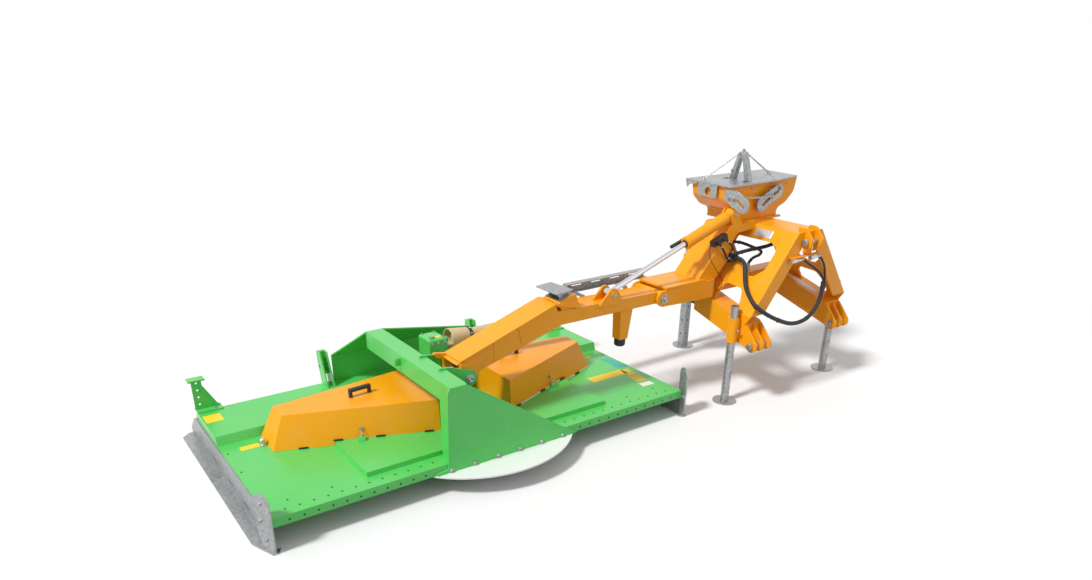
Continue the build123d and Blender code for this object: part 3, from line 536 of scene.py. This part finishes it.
boltSizes = {"small": 0.62, "middle": 0.95, "big": 1.7}
gussetCap = {"first": -0.328, "pitch": 0.1324, "count": 6, "front": -0.012, "high": 0.122}
gearbox = {
    "lid": (0.528, (-0.062, 0.013), (0.650, 0.752)),  # height, then the bolts along and across
    "face": (0.635, (-0.064, -0.024, 0.016), (0.438, 0.508)),
    "foot": (0.300, (-0.095, 0.095), (0.628, 0.762)),
}
horn = {
    "flare": 23, "side": 1.208, "front": -0.032,
    "bolts": ((0.050, 0.236), (0.062, 0.150), (0.040, 0.060)),  # along the horn, height
}
rearBolts = [((side * 1.100, 1.150, 0.208), (0, 0, 1), 25) for side in (-1, 1)]
rearBolts += [((x, 1.196, 0.355), (0, 1, 0), 8) for x in (-0.486, 0.486)]
fixings = {
    # name: (size, body, each bolt's place, facing and turn)
    "armPinBolts": ("big", "headstock", [((1.198, 0.192, 0.651), (0, -1, 0), 14)]),
    "tiltPinBolts": ("big", "deck", [((-0.093, 0.188, 0.472), (0, -1, 0), 22)]),
    "rodEyeBolts": ("middle", "arm", [((0.831, 0.204, 0.737), (0, -1, 0), 8)]),
    "barrelEyeBolts": ("middle", "headstock", [((1.740, 0.216, 1.057), (0, -1, 0), 8)]),
    "headBolts": ("small", "headstock", [
        ((1.948, 0.296, 1.178), (0, -1, 0), 10), ((1.803, 0.296, 1.180), (0, -1, 0), 40),
        ((2.116, 0.296, 1.178), (0, -1, 0), 10), ((2.261, 0.296, 1.180), (0, -1, 0), 40),
        ((1.935, 0.337, 1.262), (-1, 0, 0), 10), ((1.935, 0.456, 1.262), (-1, 0, 0), 10),
        ((1.860, 0.560, 1.180), (0, 1, 0), 10), ((2.200, 0.560, 1.180), (0, 1, 0), 10)]),
    "camBolts": ("middle", "headstock", [
        ((1.700, 0.218, 1.150), (-1, 0, 0), 10), ((2.088, 0.252, 1.122), (0, -1, 0), 10),
        ((2.165, 0.256, 1.165), (0, -1, 0), 10)]),
    "trayBolts": ("small", "arm", [((x, 0.412, 0.700), (0, 0, -1), 10) for x in (0.745, 1.055)]),
    "bendBolts": ("middle", "arm", [((0.516, y, 0.7655), (-0.35, 0, 0.94), 30) for y in (0.300, 0.331)]),
}


def addBolts():
    bolts = {size: hexBolt(share) for size, share in boltSizes.items()}
    cap = domeCap()
    row = [gussetCap["first"] + gussetCap["pitch"] * i for i in range(gussetCap["count"])]
    scatter(cap, "gussetCaps", "deck", "galvanised",
            [((x, gussetCap["front"], gussetCap["high"]), (0, -1, 0), 0) for x in row])
    top, alongTop, acrossTop = gearbox["lid"]
    face, alongFace, highFace = gearbox["face"]
    foot, alongFoot, acrossFoot = gearbox["foot"]
    gear = [((x, y, top), (0, 0, 1), 15) for x in alongTop for y in acrossTop]
    gear += [((x, face, z), (0, -1, 0), 10) for x in alongFace for z in highFace]
    gear += [((x, y, foot), (0, 0, 1), 20) for x in alongFoot for y in acrossFoot]
    flare = math.radians(horn["flare"])
    hornSpots = []
    for side in (-1, 1):
        for along, high in horn["bolts"]:
            x = side * (horn["side"] + along * math.sin(flare))
            y = horn["front"] + along * math.cos(flare)
            hornSpots.append(((x, y, high), (side * math.cos(flare), -math.sin(flare), 0), 20))
    rows = {"gearboxBolts": ("small", "deck", gear), "deckBolts": ("small", "deck", rearBolts),
            "skidBolts": ("middle", "deck", hornSpots)}
    rows.update(fixings)
    for name, (size, body, spots) in rows.items():
        scatter(bolts[size], name, body, "galvanised", spots)
    for master in (*bolts.values(), cap):
        drop(master)


def rod(name, body, slotName, start, end, radius):  # a round bar between two places, its ends bevelled
    reach = Vector(end) - Vector(start)
    length, bevel, narrow = reach.length, radius * 0.1, radius * 0.9
    master = turned([(narrow, 0), (radius, bevel), (radius, length - bevel), (narrow, length)], 10)
    scatter(master, name, body, slotName, [(start, tuple(reach), 0)])
    drop(master)


stay = {
    "radius": 0.0030, "shoe": 1.1, "plate": 1.218,
    "top": (1.952, 0.3965, 1.384),
    "feet": {"Left": (1.748, 0.503, 1.221), "Front": (2.112, 0.272, 1.221), "Rear": (2.277, 0.454, 1.221)},
    "knob": (1.952, 0.3965, 1.3805),
    "knobRings": ((0.0092, 0), (0.0098, 0.002), (0.0098, 0.007), (0.0070, 0.0095), (0.0070, 0.0105)),
}


def addStays():  # thin rods that steady the hoop on the top plate
    for side, foot in stay["feet"].items():
        rod("stay" + side, "headstock", "galvanised", stay["top"], foot, stay["radius"])
    shoe = domeCap(stay["shoe"])
    scatter(shoe, "stayFeet", "headstock", "galvanised",
            [((x, y, stay["plate"]), (0, 0, 1), 0) for x, y, _ in stay["feet"].values()])
    drop(shoe)
    knob = turned(stay["knobRings"], 18)
    scatter(knob, "hoopKnob", "headstock", "galvanised", [(stay["knob"], (0, 0, 1), 0)])
    drop(knob)


stand = {
    "radius": 0.024, "half": 0.025, "holes": (0.095, 0.195, 0.295), "topHole": 0.570,
    "hole": 0.0040, "rearHole": 0.0062, "deep": 0.0008, "proud": 0.00006, "rearProud": 0.00012,
    "places": (("stand_left", "standLeftHoles", 1.565), ("stand_right", "standRightHoles", 2.499)),
    "front": -0.010, "rear": (2.032, 0.824),
    "pinRings": ((0.0065, 0), (0.0065, 0.012), (0.0100, 0.0125), (0.0100, 0.0165), (0.0088, 0.0180)),
    "pins": (((1.565, -0.0415, 0.457), (0, -1, 0), 0), ((2.499, -0.0415, 0.457), (0, -1, 0), 0),
             ((2.032, 0.8575, 0.470), (0, 1, 0), 0)),
}


def addStandPieces():  # dark discs are painted shade for the holes through the stand tubes; they lie flush, so that the tubes still slide through their sleeves
    deep = stand["deep"]
    plugAndHoleShade = turned([(stand["hole"], 0), (stand["hole"], deep)], 16)
    reach = stand["radius"] + stand["proud"] - deep
    heights = stand["holes"] + (stand["topHole"],)
    for body, name, x in stand["places"]:
        spots = [((x, stand["front"] + side * reach, z), (0, side, 0), 0)
                 for side in (-1, 1) for z in heights]
        scatter(plugAndHoleShade, name, body, "black_paint", spots)
    drop(plugAndHoleShade)
    # the same painted shade for the holes of the rear stand
    plugAndHoleShade = turned([(stand["rearHole"], 0), (stand["rearHole"], deep)], 16)
    reach = stand["half"] + stand["rearProud"] - deep
    x, y = stand["rear"]
    spots = [((x, y + side * reach, z), (0, side, 0), 0) for side in (-1, 1) for z in stand["holes"]]
    spots += [((x + side * reach, y, z), (side, 0, 0), 0) for side in (-1, 1) for z in stand["holes"]]
    scatter(plugAndHoleShade, "standRearHoles", "stand_rear", "black_paint", spots)
    drop(plugAndHoleShade)
    # the pin that locks each stand in its sleeve
    pin = turned(stand["pinRings"], 18)
    scatter(pin, "standPins", "headstock", "galvanised", stand["pins"])
    drop(pin)


hitch = {
    "rings": ((0.0185, 0), (0.0200, 0.0012), (0.0200, 0.0052), (0.0180, 0.0066), (0.0090, 0.0066)),
    # name: (y, z, each end's x and the way it faces)
    "lowerPinHeads": (-0.127, 0.380, ((1.588, -1), (1.746, 1), (2.318, -1), (2.476, 1))),
    "topPinHeads": (-0.120, 0.934, ((1.964, -1), (2.100, 1))),
}


def addPinHeads():  # collars on the ends of the three hitch pins
    collar = turned(hitch["rings"], 24)
    for name in ("lowerPinHeads", "topPinHeads"):
        y, z, ends = hitch[name]
        scatter(collar, name, "headstock", "galvanised", [((x, y, z), (side, 0, 0), 0) for x, side in ends])
    drop(collar)


rotors = {
    "places": (("left", -0.770, 0.700), ("centre", 0, 0.375), ("right", 0.770, 0.700)),
    "blades": 3, "start": 30, "reach": 0.120, "under": 0.074, "bolt": 1.05,
}


def addRotorBolts():  # the bolt that carries each blade, from below
    head, reach = hexBolt(rotors["bolt"]), rotors["reach"]
    for name, x, y in rotors["places"]:
        spots = []
        for k in range(rotors["blades"]):
            angle = math.radians(rotors["start"] + 360 / rotors["blades"] * k)
            where = (x + reach * math.cos(angle), y + reach * math.sin(angle), rotors["under"])
            spots.append((where, (0, 0, -1), 0))
        scatter(head, "bladeBolts" + name.capitalize(), "rotor_" + name, "galvanised", spots)
    drop(head)


driveGuard = {
    "axis": (0.700, 0.493), "ring": 0.190, "radius": 0.0455, "tabs": 8, "firstTab": 20, "sunk": 0.0006,
    # share of the radius, height
    "rings": ((0.93, 0), (1, 0.0025), (1, 0.0150), (0.93, 0.0175), (0.86, 0.0175), (0.82, 0.0235)),
    "tab": (0.010, 0.0075, 0.0028), "tabRounding": 0.0008, "tabAt": 0.0088,
}


def addGuardRing():  # dark bearing ring at the neck of the driveline's cone
    y, z = driveGuard["axis"]
    radius, x = driveGuard["radius"], driveGuard["ring"]
    ring = turned([(radius * share, height) for share, height in driveGuard["rings"]], 32)
    scatter(ring, "guardRing", "driveline", "black_plastic", [((x, y, z), (1, 0, 0), 0)])
    drop(ring)
    tab = slab(driveGuard["tab"], driveGuard["tabRounding"])
    spots = []
    reach = radius - driveGuard["sunk"]
    for k in range(driveGuard["tabs"]):
        angle = math.radians(360 / driveGuard["tabs"] * k + driveGuard["firstTab"])
        out = (0, math.cos(angle), math.sin(angle))
        spots.append(((x + driveGuard["tabAt"], y + out[1] * reach, z + out[2] * reach), out, 0))
    scatter(tab, "guardRingTabs", "driveline", "beige_plastic", spots)
    drop(tab)


lift = {
    "top": (1.740, 0.253, 1.057), "way": (-0.9433, 0, -0.3321), "radius": 0.035,
    "glandAt": 0.3555, "wiperAt": 0.3765, "portsAt": (0.070, 0.350),  # along the barrel from its upper pin
    "portSunk": 0.003,
    # added to the barrel's radius, height
    "gland": ((-0.0005, 0), (0.0022, 0.0020), (0.0022, 0.0185), (-0.0020, 0.0215), (-0.0090, 0.0215)),
    "wiper": ((0.0205, 0), (0.0205, 0.0035), (0.0180, 0.0055)),
    "port": ((0.0135, 0), (0.0135, 0.0110), (0.0110, 0.0125), (0.0110, 0.0190), (0.0092, 0.0200)),
    "plugAndHoleShade": ((0.0090, 0), (0.0125, 0.0020), (0.0125, 0.0200), (0.0105, 0.0225), (0.0105, 0.0960),
             (0.0092, 0.1000), (0.0060, 0.1010)),
    "plugEnds": ((1.418, 0.3035, 0.938), (1.309, 0.3035, 0.906)),
}


def addCylinderPieces():
    top, way, radius = Vector(lift["top"]), Vector(lift["way"]), lift["radius"]
    gland = turned([(radius + more, height) for more, height in lift["gland"]], 32)
    wiper, port, plugAndHoleShade = turned(lift["wiper"], 24), turned(lift["port"], 18), turned(lift["plugAndHoleShade"], 20)
    start, end = (Vector(spot) for spot in lift["plugEnds"])
    aside = Vector((0, radius - lift["portSunk"], 0))
    scatter(gland, "barrelGland", "lift_barrel", "orange_paint",
            [(tuple(top + way * lift["glandAt"]), lift["way"], 0)])
    scatter(wiper, "rodWiper", "lift_barrel", "rubber",
            [(tuple(top + way * lift["wiperAt"]), lift["way"], 0)])
    scatter(port, "barrelPorts", "lift_barrel", "galvanised",
            [(tuple(top + way * at + aside), (0, 1, 0), 0) for at in lift["portsAt"]])
    # black sleeved plug that lies along the cylinder from its lower port
    scatter(plugAndHoleShade, "portPlug", "lift_barrel", "black_plastic", [(tuple(start), tuple(end - start), 0)])
    for master in (gland, wiper, port, plugAndHoleShade):
        drop(master)


weld = {
    "front": 0.2215, "radius": 0.0028,
    # name: (x, low, high)
    "beads": {"weldIncline": (0.069, 0.512, 0.612), "weldLevel": (0.628, 0.630, 0.700)},
}


def addWelds():  # beads across the arm, where its sheets are joined
    for name, (x, low, high) in weld["beads"].items():
        start, end = (x, weld["front"], low), (x, weld["front"], high)
        rod(name, "arm", "orange_paint", start, end, weld["radius"])


coverStop = {
    "at": (-1.0065, 0.6875, 0.155),
    "rings": ((0.0170, 0), (0.0170, 0.0080), (0.0120, 0.0095), (0.0120, 0.0260), (0.0145, 0.0275),
              (0.0145, 0.0345), (0.0110, 0.0380)),
}
beamLug = {"at": (-0.3335, 0.498, 0.491), "size": (0.034, 0.008, 0.040), "rounding": 0.0030, "inset": 0.0015}
gearboxLabel = {"at": (-0.006, 0.676, 0.528), "size": (0.034, 0.024, 0.0005), "rounding": 0.0001, "turn": 10}
coverStrip = {
    "wide": 0.0035, "high": 0.0060, "rounding": 0.0008, "off": 0.0010, "up": 0.0004,
    "ends": {"A": (0.722, 0.978), "B": (0.300, 0.700)},
}


def addDeckPieces():
    stop = turned(coverStop["rings"], 22)  # for the left cover's tip
    scatter(stop, "coverStop", "deck", "galvanised", [(coverStop["at"], (0, 0, 1), 0)], finishes["plated"])
    drop(stop)
    lug = slab(beamLug["size"], beamLug["rounding"])
    edit(lug)
    pick(lug, lambda middle, normal: normal.z > 0.9)
    bpy.ops.mesh.inset(thickness=beamLug["inset"], depth=0)
    done(lug)
    scatter(lug, "beamLug", "deck", "green_paint", [(beamLug["at"], (0, 0, 1), 0)])
    drop(lug)
    label = slab(gearboxLabel["size"], gearboxLabel["rounding"], 1)
    scatter(label, "labelGearbox", "deck", None,
            [(gearboxLabel["at"], (0, 0, 1), gearboxLabel["turn"])], films["yellow"])
    drop(label)
    # pale edge strip along the foot of the right cover
    for letter, (start, end) in coverStrip["ends"].items():
        (ax, ay, az), _ = onCoverEdge(start)
        (bx, by, _), out = onCoverEdge(end)
        turn = math.degrees(math.atan2(by - ay, bx - ax))
        length = math.hypot(bx - ax, by - ay)
        strip = slab((length, coverStrip["wide"], coverStrip["high"]), coverStrip["rounding"])
        off = coverStrip["off"]
        middle = ((ax + bx) / 2 + out.x * off, (ay + by) / 2 + out.y * off, az + coverStrip["up"])
        scatter(strip, "coverStrip" + letter, "deck", "white_plastic", [(middle, (0, 0, 1), turn)])
        drop(strip)


handle = {
    "span": 0.130, "high": 0.046, "thick": 0.018, "wide": 0.022, "inset": 0.012, "flange": 0.004,
    "spread": (1.04, 1.25, 1), "rounding": 0.0032,
    "places": {"L": (-0.506, 0.606), "R": (0.430, 0.640)},
    "lid": (0.916, 0.320, 0.0385),  # a cover's outer end, the lid's height there, and its slope
}


def addHandles():
    half, foot, flange = handle["span"] / 2, handle["wide"], handle["flange"]
    clear()
    bpy.ops.mesh.primitive_cube_add(size=1, location=(0, 0, handle["high"] - handle["thick"] / 2))
    piece = bpy.context.object
    piece.scale = (handle["span"] - handle["inset"], handle["wide"], handle["thick"])
    bpy.ops.object.transform_apply(location=True, scale=True)
    edit(piece)
    for at in (-half + foot, half - foot):
        bpy.ops.mesh.select_all(action="SELECT")
        bpy.ops.mesh.bisect(plane_co=(at, 0, 0), plane_no=(1, 0, 0))
    pick(piece, lambda middle, normal: normal.z < -0.9 and abs(middle.x) > half - foot)
    extrude(0, 0, -(handle["high"] - handle["thick"] - flange))
    extrude(0, 0, -flange)
    bpy.ops.transform.resize(value=handle["spread"], center_override=(0, 0, 0))
    done(piece, handle["rounding"], 3)
    end, low, slope = handle["lid"]
    for letter, (x, y) in handle["places"].items():
        # the lid falls away from the middle of the deck
        spot = ((x, y, low + (end - abs(x)) * slope), (math.copysign(slope, x), 0, 1), 90)
        scatter(piece, "coverHandle" + letter, "deck", "black_plastic", [spot])
    drop(piece)


coverEdge = {"front": ((-0.988, 0.592), (-0.215, 0.290)), "step": 0.711, "low": 0.155, "rise": 0.025}


def onCoverEdge(x):  # the foot of a cover's front wall, and its outward direction
    (x0, y0), (x1, y1) = coverEdge["front"]
    y = y0 + (y1 - y0) * (-abs(x) - x0) / (x1 - x0)
    low = coverEdge["low"] + (coverEdge["rise"] if abs(x) < coverEdge["step"] else 0)
    out = Vector((y1 - y0, x0 - x1, 0)).normalized()
    if x > 0:
        out.x = -out.x
    return (x, y, low), out


def byCover(x, away, up=0.0):  # a copy's spot off that wall, turned along it
    (px, py, pz), out = onCoverEdge(x)
    turn = math.degrees(math.atan2(out.y, out.x)) + 90
    return (px + out.x * away, py + out.y * away, pz + up), (0, 0, 1), turn


coverPad = {
    "size": (0.046, 0.009, 0.0065), "rounding": 0.0015, "crown": (0, 0.003, 0.002), "away": 0.001,
    "places": (0.853, 0.694, 0.500, 0.272),
}
latch = {
    "at": 0.586,
    "tab": (0.034, 0.022, 0.006), "catch": (0.020, 0.006, 0.016), "rounding": 0.0012,
    "tabAway": 0.022, "tabLip": (0, 0.002, 0), "tabBend": (0, -0.004, 0.014), "tabFoot": -0.02,
    "catchUp": 0.045, "catchRim": 0.003, "catchNose": (0, -0.003, 0),
    "coil": 0.0052, "wire": 0.0011, "turns": 7, "points": 8, "rise": 0.030,
    "away": 0.020, "up": 0.014, "lean": 0.30, "tail": (0.008, 0.003), "coilFrom": 0.004, "coilLength": 0.018,
    "hook": ((0.010, 0.002), (0.014, 0.008), (0.010, 0.012)),  # up from the coil, and in to the cover
    "wall": (0.018, 0.165),  # how far a cover's wall leans in over its height
}


def addCoverTrim():
    pad = slab(coverPad["size"], coverPad["rounding"])
    edit(pad)
    pick(pad, lambda middle, normal: normal.z > 0.9)
    extrude(*coverPad["crown"])
    done(pad)
    spots = [byCover(side * x, coverPad["away"]) for side in (-1, 1) for x in coverPad["places"]]
    scatter(pad, "coverPads", "deck", "rubber", spots)
    drop(pad)
    tab = slab(latch["tab"], latch["rounding"])
    edit(tab)
    pick(tab, lambda middle, normal: normal.y > 0.9)
    extrude(*latch["tabLip"])
    pick(tab, lambda middle, normal: normal.z > 0.9 and middle.y > latch["tabFoot"])
    extrude(*latch["tabBend"])
    done(tab)
    spots = [byCover(side * latch["at"], latch["tabAway"]) for side in (-1, 1)]
    scatter(tab, "latchTabs", "deck", "green_paint", spots)
    drop(tab)
    addLatches()


def addLatches():  # a spring hook that holds each cover down
    for x, letter in ((-latch["at"], "L"), (latch["at"], "R")):
        (px, py, pz), out = onCoverEdge(x)
        foot = Vector((px, py, pz)) + out * latch["away"] + Vector((0, 0, latch["up"]))
        lean = (Vector((0, 0, 1)) - out * latch["lean"]).normalized()
        side = out.cross(lean).normalized()
        front = side.cross(lean).normalized()
        route = [tuple(foot - lean * below) for below in latch["tail"]]
        steps = latch["turns"] * latch["points"]
        for k in range(steps):
            angle = 2 * math.pi * k / latch["points"]
            ring = side * math.cos(angle) * latch["coil"] + front * math.sin(angle) * latch["coil"]
            route.append(tuple(foot + ring + lean * (latch["coilFrom"] + latch["coilLength"] * k / steps)))
        top = foot + lean * latch["rise"]
        route.append(tuple(top))
        route += [tuple(top + lean * up - out * inward) for up, inward in latch["hook"]]
        wire = smoothLine("spring" + letter, route, latch["wire"])
        wire.data.resolution_u, wire.data.bevel_resolution = 2, 2
        clear()
        wire.select_set(True)
        bpy.context.view_layer.objects.active = wire
        bpy.ops.object.convert(target="MESH")
        settle(bpy.context.object, "latchSpring" + letter, "deck", "galvanised")
    catch = slab(latch["catch"], latch["rounding"])
    edit(catch)
    pick(catch, lambda middle, normal: normal.y < -0.9)
    bpy.ops.mesh.inset(thickness=latch["catchRim"], depth=0)
    extrude(*latch["catchNose"])
    done(catch)
    leanIn, wallHigh = latch["wall"]
    spots = []
    for x in (-latch["at"], latch["at"]):
        high = onCoverEdge(x)[0][2] + latch["catchUp"] - coverEdge["low"]
        spots.append(byCover(x, -leanIn * high / wallHigh, latch["catchUp"]))
    scatter(catch, "latchCatches", "deck", "galvanised", spots)
    drop(catch)


labels = {
    # name: (middle, length and width, turn, film), each lying flat on the deck
    "labelRearLeft": ((-1.148, 1.038, 0.202), (0.088, 0.096), 0, "yellow"),
    "labelFrontLeft": ((-1.068, 0.706, 0.155), (0.094, 0.042), 0, "yellow"),
    "labelFrontRight": ((1.068, 0.712, 0.155), (0.074, 0.032), 0, "yellow"),
    "labelLongRight": ((0.985, 0.408, 0.155), (0.260, 0.072), 0, "yellow"),
    "labelCornerUpper": ((1.128, 0.382, 0.155), (0.056, 0.095), -6, "yellow"),
    "labelCornerLower": ((1.112, 0.280, 0.155), (0.074, 0.088), -6, "yellow"),
    "labelTeal": ((1.152, 0.548, 0.155), (0.072, 0.180), 0, "teal"),
    "labelPale": ((1.100, 0.190, 0.155), (0.082, 0.048), -4, "pale"),
}
sticker = {"thick": 0.0005, "rounding": 0.0001, "border": 0.07}
dataPlate = {
    "at": (1.8995, 0.130, 0.9478), "size": (0.128, 0.050, 0.0012), "rounding": 0.0004,
    "border": 0.004, "sunk": 0.0005,
    "facing": (-0.439, 0, 0.329),  # outward from the left slope of the headstock's sheet
}
# lies on the sloping top of the right lower beam
beamLabel = {"at": (2.381, 0.165, 0.5636), "size": (0.045, 0.255, 0.0006), "facing": (0, -0.278, 1)}


def addLabels():  # bare stickers and plates
    for name, (where, size, turn, tone) in labels.items():
        label = slab((*size, sticker["thick"]), sticker["rounding"], 1)
        edit(label)
        pick(label, lambda middle, normal: normal.z > 0.9)
        bpy.ops.mesh.inset(thickness=min(size) * sticker["border"], depth=0)
        done(label)
        scatter(label, name, "deck", None, [(where, (0, 0, 1), turn)], films[tone])
        drop(label)
    plate = slab(dataPlate["size"], dataPlate["rounding"])
    edit(plate)
    pick(plate, lambda middle, normal: normal.z > 0.9)
    bpy.ops.mesh.inset(thickness=dataPlate["border"], depth=0)
    extrude(0, 0, -dataPlate["sunk"])
    done(plate)
    facing = tuple(Vector(dataPlate["facing"]).normalized())
    scatter(plate, "dataPlate", "headstock", "galvanised", [(dataPlate["at"], facing, 0)], films["silver"])
    drop(plate)
    strip = slab(beamLabel["size"], sticker["rounding"], 1)
    scatter(strip, "beamLabel", "headstock", None,
            [(beamLabel["at"], beamLabel["facing"], 0)], films["pale"])
    drop(strip)


ferrule = {
    "length": 0.030, "wall": 0.0022, "rim": 0.001, "grooves": 4, "short": 0.42,
    # share of the wall, height above the foot of the groove
    "groove": ((1, 0.0048), (0.55, 0.0056), (0.55, 0.0064), (1, 0.0070)),
}
hoseEnds = {
    # which ends of a hose carry a ferrule: 0 the first, -1 the last
    "hoseUpper": (-1,), "hoseLower": (-1,), "valveHoseUpper": (0, -1), "valveHoseLower": (0, -1),
    "bundleLow": (-1,), "bundleHigh": (0, -1),
}
cuff = {
    "rings": ((0.0140, 0), (0.0158, 0.003), (0.0158, 0.022), (0.0146, 0.026), (0.0146, 0.030),
              (0.0158, 0.034), (0.0150, 0.044)),
    "below": 0.040,
}


def ferruleOn(radius):  # crimped steel end of a hose
    wall, length, rim = ferrule["wall"], ferrule["length"], ferrule["rim"]
    profile = [(radius + wall * 0.6, 0), (radius + wall, rim)]
    for k in range(ferrule["grooves"]):
        base = rim + k * (length - 2 * rim) / ferrule["grooves"]
        profile += [(radius + wall * share, base + height) for share, height in ferrule["groove"]]
    return turned(profile + [(radius + wall, length - rim), (radius + wall * 0.5, length)], 18)


def addHoseEnds():
    found = {}
    for name, ends in hoseEnds.items():
        route = hoses[name]["route"]
        master = ferruleOn(hoses[name]["radius"])
        if name.startswith("valve"):
            master.scale = (1, 1, ferrule["short"])
        spots = []
        for end in ends:
            tip, before = Vector(route[end]), Vector(route[1 if end == 0 else -2])
            spots.append((tuple(tip), tuple((before - tip).normalized()), 0))
        found[name] = [scatter(master, name + "Ends", "headstock", "galvanised", spots)]
        drop(master)
    sleeve = turned(cuff["rings"], 24)
    x, y, z = hoses["hoseMain"]["route"][-1]
    spots = [((x, y, z - cuff["below"]), (0, 0, 1), 0)]
    found["hoseMain"] = [scatter(sleeve, "sleeveCuff", "headstock", "rubber", spots)]
    drop(sleeve)
    return found


# where along a bundle its ties sit, from 0 to 1
ties = {
    "hoseMain": (0.10, 0.30, 0.46, 0.62, 0.80),
    "bundleLow": (0.16, 0.42, 0.68),
    "bundleHigh": (0.18, 0.40, 0.62, 0.84),
}
strap = {
    # added to the bundle's radius, height
    "rings": ((0.0002, -0.0022), (0.0012, -0.0020), (0.0012, 0.0020), (0.0002, 0.0022)),
    "block": 0.0054, "blockOut": 0.0022, "turn": 20,
}


def addTies():  # narrow straps round the bundles, each with its locking block
    found = {}
    for name, shares in ties.items():
        points, radius = pathOf(hoses[name]["route"]), hoses[name]["radius"]
        band = turned([(radius + more, height) for more, height in strap["rings"]], 22)
        edit(band)
        bpy.ops.mesh.select_all(action="DESELECT")
        bpy.ops.mesh.primitive_cube_add(size=strap["block"], location=(0, -(radius + strap["blockOut"]), 0))
        done(band)
        spots = []
        for share in shares:
            k = max(1, min(len(points) - 2, round(share * (len(points) - 1))))
            along = (points[k + 1] - points[k - 1]).normalized()
            spots.append((tuple(points[k] - place(0, 0, 0)), tuple(along), strap["turn"]))
        found[name] = scatter(band, name + "Ties", "headstock", "black_plastic", spots)
        drop(band)
    return found


studio = {
    "ambient": 0.52,
    "floor": (0.42, 0.86),  # how pale the floor is to the light it sends back, and to the eye
    "floorSize": 60,
    "fade": (2.6, 5.0),  # from here to there the floor turns into plain white
    # name: (strength, spread in degrees, direction)
    "lamps": {"key": (2.75, 9, (0.72, 0.02, -0.86)), "fill": (0.22, 40, (-0.2, 0.9, -0.5))},
}


def addStage():
    low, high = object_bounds()
    middle = (low + high) / 2
    clear()
    bpy.ops.mesh.primitive_plane_add(size=studio["floorSize"], location=(middle.x, middle.y, 0))
    floor = bpy.context.object
    floor.name = "floor"
    s = Shader("paleFloor")
    kinds = ("Camera", "Glossy", "Transmission")
    rays = [s.node("LightPath", {}, {}, "Is " + kind + " Ray") for kind in kinds]
    shade = s.range(rays[0] + rays[1] + rays[2], 0, 1, *studio["floor"])
    s.set(Base_Color=s.node("CombineColor", {}, {0: shade, 1: shade, 2: shade}), Roughness=0.95)
    s.set(Specular_IOR_Level=0.1)
    # far from the machine the floor fades to plain white, so that no horizon shows
    reach = s.node("VectorMath", {"operation": "LENGTH"}, {0: s.spot}, 1)
    far = s.range(reach, *studio["fade"])
    glow = s.node("Emission", {}, {"Color": (1, 1, 1, 1), "Strength": 1.0})
    shown = s.node("MixShader", {}, {0: far * rays[0], 1: Value(s, s.surface.outputs[0]), 2: glow})
    s.tree.links.new(shown.socket, s.tree.nodes["Material Output"].inputs["Surface"])
    floor.data.materials.append(s.material)
    world = bpy.data.worlds.new("studio")
    bpy.context.scene.world = world
    world.use_nodes = True
    tree = world.node_tree
    backdrop = tree.nodes["Background"]
    backdrop.inputs[0].default_value = (1, 1, 1, 1)
    path = tree.nodes.new("ShaderNodeLightPath")
    total = path.outputs["Is Camera Ray"]
    for ray in ("Is Glossy Ray", "Is Transmission Ray"):
        adding = tree.nodes.new("ShaderNodeMath")
        tree.links.new(total, adding.inputs[0])
        tree.links.new(path.outputs[ray], adding.inputs[1])
        total = adding.outputs[0]
    level = tree.nodes.new("ShaderNodeMapRange")
    level.inputs[3].default_value, level.inputs[4].default_value = studio["ambient"], 1.0
    tree.links.new(total, level.inputs[0])
    tree.links.new(level.outputs[0], backdrop.inputs[1])
    for name, (energy, angle, direction) in studio["lamps"].items():
        lamp = bpy.data.lights.new(name, "SUN")
        lamp.energy, lamp.angle = energy, math.radians(angle)
        sun = bpy.data.objects.new(name, lamp)
        sun.rotation_euler = Vector(direction).to_track_quat("-Z", "Y").to_euler()
        bpy.context.collection.objects.link(sun)
    bpy.context.scene.view_settings.view_transform = "Standard"
    print("stage lit")


addCamera()
withPieces = addHoseEnds()
for name, tie in addTies().items():
    withPieces.setdefault(name, []).append(tie)
withPieces["hoseUpper"].append(nodes["couplings"])
addHoses()
addDeckHoles()
addBolts()
addHandles()
addCoverTrim()
addLabels()
addStays()
addStandPieces()
addPinHeads()
addRotorBolts()
addGuardRing()
addCylinderPieces()
addWelds()
addDeckPieces()
print("small pieces in place")
addStage()

print("scene ready")
